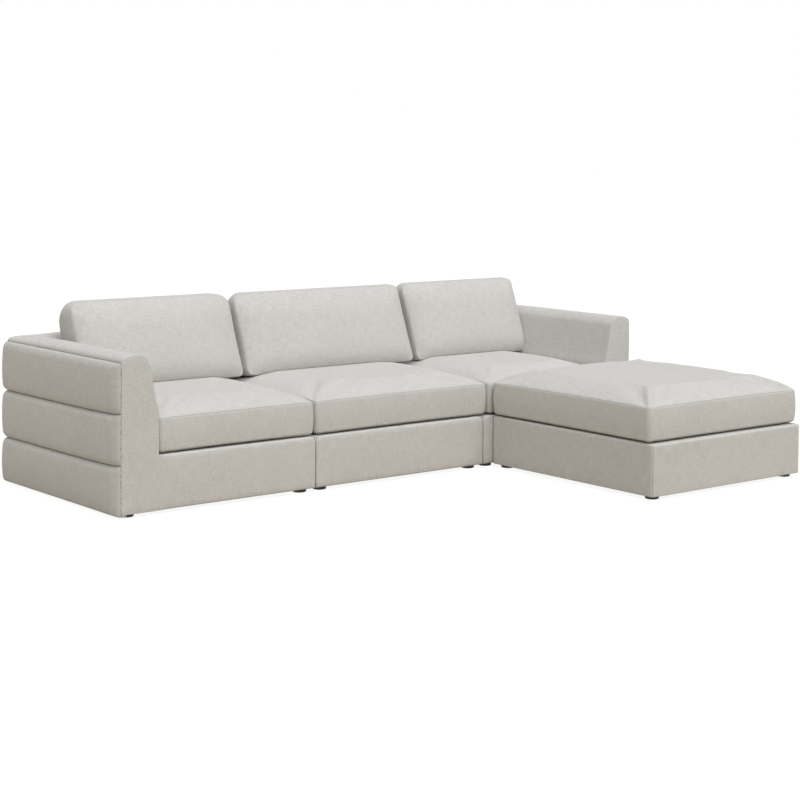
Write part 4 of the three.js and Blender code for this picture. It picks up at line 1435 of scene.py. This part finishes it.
def zip_of(node, cushion, recipe):
    """The zip along a seat cushion's rear border."""
    low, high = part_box(node)
    start, end = low.x + ZIP_END, high.x - ZIP_END
    height = (sizes().seat_seam_low + sizes().seat_seam_high) / 2
    tree = BVHTree.FromObject(cushion, bpy.context.evaluated_depsgraph_get())
    points = []
    for step in range(ZIP_STEPS + 1):
        x = start + (end - start) * step / ZIP_STEPS
        spot, _, _, _ = tree.ray_cast(Vector((x, high.y + 0.1, height)), Vector((0, -1, 0)))
        points.append((x, spot.y + 0.0002, height))
    edges = [(i, i + 1) for i in range(ZIP_STEPS)]
    values = {"Spacing": TOOTH_SPACING, "Size": TOOTH, "Turn": 0.0, "Seed": 1}
    made = recipe.grow(f"{node}_zip", points, edges, {**values, "Finish": finish_of("plastic")})
    add(made, frame["nodes"][node]["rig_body"])


# Feet


FOOT_TOP, FOOT_SOLE, FOOT_EDGE, STUD, STUD_TIP, FOOT_STEPS = 0.0147, 0.004, 0.002, 0.004, 0.001, 48


def foot(node):
    """A low turned foot with a soft sole edge, and its stud."""
    low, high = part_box(node)
    centre = (low + high) / 2
    radius = (high.y - low.y) / 2
    profile = [(0.0, 0.0), (radius - FOOT_SOLE, 0.0)]
    profile += [(radius - FOOT_SOLE * 0.3, FOOT_SOLE * 0.3), (radius, FOOT_SOLE)]
    profile += [(radius, FOOT_TOP - FOOT_EDGE), (radius - FOOT_EDGE * 0.3, FOOT_TOP - FOOT_EDGE * 0.3)]
    profile += [(radius - FOOT_EDGE, FOOT_TOP), (STUD, FOOT_TOP)]
    profile += [(STUD, high.z - STUD_TIP), (STUD - STUD_TIP, high.z), (0.0, high.z)]
    shape = bmesh.new()
    line = [shape.verts.new((r, 0.0, z)) for r, z in profile]
    turned = [*line, *(shape.edges.new(pair) for pair in zip(line, line[1:]))]
    turn = {"cent": (0, 0, 0), "axis": (0, 0, 1), "angle": 2 * math.pi, "steps": FOOT_STEPS}
    bmesh.ops.spin(shape, geom=turned, **turn)
    bmesh.ops.translate(shape, verts=shape.verts, vec=(centre.x, centre.y, 0.0))
    mesh = bpy.data.meshes.new(node)
    shape.to_mesh(mesh)
    shape.free()
    close(mesh, 0.00002)
    dress(placed(f"{node}_turned", mesh), node, "plastic")


# Operators


class SOFA_OT_rolls(bpy.types.Operator):
    """Make the padded rolls round the outside of the seat units"""

    bl_idname = "sofa.rolls"
    bl_label = "Padded rolls"

    def execute(self, context):
        for side in SIDES:
            rolls(side)
        return {"FINISHED"}


class SOFA_OT_covers(bpy.types.Operator):
    """Make the front covers, inner covers, ottoman cover and deck pads"""

    bl_idname = "sofa.covers"
    bl_label = "Covers"

    def execute(self, context):
        for side in SIDES:
            front_cover(side)
            inner_cover(side)
        ottoman_cover()
        for side in STANDS:
            deck_pad(side)
        return {"FINISHED"}


class SOFA_OT_seat_cushions(bpy.types.Operator):
    """Make the loose seat cushions"""

    bl_idname = "sofa.seat_cushions"
    bl_label = "Seat cushions"

    def execute(self, context):
        pieces = [seat_cushion(node) for node in SEATS]
        inflate(pieces)
        for node, piece in zip(SEATS, pieces):
            subdivide(piece)
            stitch(piece)
            keep_inside(piece, *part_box(node))
            pad(piece, node)
        return {"FINISHED"}


class SOFA_OT_back_cushions(bpy.types.Operator):
    """Make the loose back cushions and stand them on the seat cushions"""

    bl_idname = "sofa.back_cushions"
    bl_label = "Back cushions"

    def execute(self, context):
        pieces = [back_cushion(side) for side in SIDES]
        inflate(pieces)
        for side, piece in zip(SIDES, pieces):
            subdivide(piece)
            stitch(piece, **BACK_STITCHES)
            clear_arm(piece, side)
            settle_on(piece, bpy.data.objects[f"{side}_seat_cushion_cloth"])
            pad(piece, f"{side}_back_cushion")
        return {"FINISHED"}


class SOFA_OT_feet(bpy.types.Operator):
    """Turn the feet"""

    bl_idname = "sofa.feet"
    bl_label = "Feet"

    def execute(self, context):
        for node in sorted(frame["nodes"]):
            if "_foot_" in node:
                foot(node)
        return {"FINISHED"}


class SOFA_OT_underside(bpy.types.Operator):
    """Make the webbing, the dust covers with their staples, and the cushions' zips"""

    bl_idname = "sofa.underside"
    bl_label = "Underside and zips"

    def execute(self, context):
        straps, row = strap_recipe(), row_recipe()
        for side in STANDS:
            webbing(side, straps)
            dust_cover(side, row)
        for node in SEATS:
            zip_of(node, bpy.data.objects[f"{node}_cloth"], row)
        return {"FINISHED"}


class SOFA_OT_hidden(bpy.types.Operator):
    """Finish the frames and connectors"""

    bl_idname = "sofa.hidden"
    bl_label = "Frames and connectors"

    def execute(self, context):
        slots = {part["node"]: part["material_slot"] for part in frame["record"]["subparts"]}
        for node, made in frame["nodes"].items():
            if not made.hide_render:
                made.data.materials.clear()
                made.data.materials.append(finish_of(slots[node]))
        return {"FINISHED"}


class SOFA_OT_stage(bpy.types.Operator):
    """Set up the camera, the floor and the studio light"""

    bl_idname = "sofa.stage"
    bl_label = "Studio"

    def execute(self, context):
        camera()
        floor()
        lights()
        sky()
        context.scene.view_settings.view_transform = "Standard"
        return {"FINISHED"}


# Studio

CAMERA_PLACE = (-4.7089, -5.7712, 1.4066)
CAMERA_TURN, CAMERA_TILT, CAMERA_ROLL = -38.9767, 1.8571, 0.4497
FOCAL_PIXELS, AXIS_ABOVE_MIDDLE, AXIS_RIGHT_OF_MIDDLE, PICTURE, SENSOR = 1804.9, 201.9, 0.5, 800.0, 36.0
FLOOR_REACH, FLOOR_DROP, FLOOR_GLOW, FLOOR_WHITE = 30.0, 0.0002, 1.27, 0.72
KEY_STRENGTH, KEY_WIDTH, KEY_COLOUR, KEY_TOWARDS = 2.28, 60, (0.93, 0.965, 1.0), (-0.06, -0.54, 1.0)
SKY_STRENGTH, SKY_COLOUR, WHITE = 0.455, (0.955, 0.97, 0.985, 1.0), (1.0, 1.0, 1.0, 1.0)


def camera():
    """The photograph's viewpoint, with a long lens and a little shift."""
    data = bpy.data.cameras.new("camera")
    data.sensor_width = SENSOR
    data.lens = SENSOR * FOCAL_PIXELS / PICTURE
    data.shift_x = -AXIS_RIGHT_OF_MIDDLE / PICTURE
    data.shift_y = -AXIS_ABOVE_MIDDLE / PICTURE
    made = placed("camera", data)
    stand = Matrix.Translation(CAMERA_PLACE)
    for degrees, axis in ((CAMERA_TURN, "Z"), (90 - CAMERA_TILT, "X"), (CAMERA_ROLL, "Z")):
        stand = stand @ Matrix.Rotation(math.radians(degrees), 4, axis)
    made.matrix_world = stand
    bpy.context.scene.camera = made


def floor():
    """A pale floor that turns white for the camera but keeps the sofa's shadow."""
    mesh = bpy.data.meshes.new("floor")
    corners = [(-1, -1), (1, -1), (1, 1), (-1, 1)]
    mesh.from_pydata([(x * FLOOR_REACH, y * FLOOR_REACH, 0) for x, y in corners], [], [(0, 1, 2, 3)])
    made = placed("floor", mesh)
    made.location.z = FRAME_BOX[0].z - FLOOR_DROP
    shader = Shader("floor")
    shade = shader.node("ShaderNodeBsdfDiffuse", None, {"Color": shade_of("floor")})
    glow = shader.node("ShaderNodeEmission", None, {"Color": WHITE, "Strength": FLOOR_GLOW})
    both = shader.node("ShaderNodeMixShader", None, {0: shader.seen() * FLOOR_WHITE, 1: shade, 2: glow})
    shader.node("ShaderNodeOutputMaterial", None, {"Surface": both})
    mesh.materials.append(shader.owner)


def lights():
    """One broad soft key from above and a little in front."""
    data = bpy.data.lights.new("key", "SUN")
    data.energy = KEY_STRENGTH
    data.angle = math.radians(KEY_WIDTH)
    data.color = KEY_COLOUR
    made = placed("key", data)
    towards = Vector(KEY_TOWARDS).normalized()
    made.rotation_mode = "QUATERNION"
    made.rotation_quaternion = towards.to_track_quat("Z", "Y")
    made.location = towards * 6


def sky():
    """Even light all round, and plain white behind the sofa."""
    shader = Shader("studio", "worlds")
    bpy.context.scene.world = shader.owner
    even = shader.node("ShaderNodeBackground", None, {"Color": SKY_COLOUR, "Strength": SKY_STRENGTH})
    white = shader.node("ShaderNodeBackground", None, {"Color": WHITE, "Strength": 1.0})
    both = shader.node("ShaderNodeMixShader", None, {0: shader.seen(), 1: even, 2: white})
    shader.node("ShaderNodeOutputWorld", None, {"Surface": both})


STEPS = (
    SOFA_OT_stage,
    SOFA_OT_rolls,
    SOFA_OT_covers,
    SOFA_OT_seat_cushions,
    SOFA_OT_back_cushions,
    SOFA_OT_feet,
    SOFA_OT_underside,
    SOFA_OT_hidden,
)


class SOFA_PT_panel(bpy.types.Panel):
    """Lists the steps that dress the sofa"""

    bl_idname = "SOFA_PT_panel"
    bl_label = "Modular sofa"
    bl_space_type = "VIEW_3D"
    bl_region_type = "UI"
    bl_category = "Sofa"

    def draw(self, context):
        for step in STEPS:
            self.layout.operator(step.bl_idname)
        for group in (context.scene.sofa_sizes, context.scene.sofa_colours):
            for name in group.__annotations__:
                self.layout.prop(group, name)


CLASSES = (SofaSizes, SofaColours, *STEPS, SOFA_PT_panel)


def register():
    for made in CLASSES:
        bpy.utils.register_class(made)
    bpy.types.Scene.sofa_sizes = PointerProperty(type=SofaSizes)
    bpy.types.Scene.sofa_colours = PointerProperty(type=SofaColours)


def unregister():
    del bpy.types.Scene.sofa_colours
    del bpy.types.Scene.sofa_sizes
    for made in reversed(CLASSES):
        bpy.utils.unregister_class(made)


def main():
    """Registers the add-on's classes and runs each step that dresses the sofa."""
    register()
    for step in STEPS:
        group, name = step.bl_idname.split(".")
        getattr(getattr(bpy.ops, group), name)()


if __name__ == "__main__":
    main()
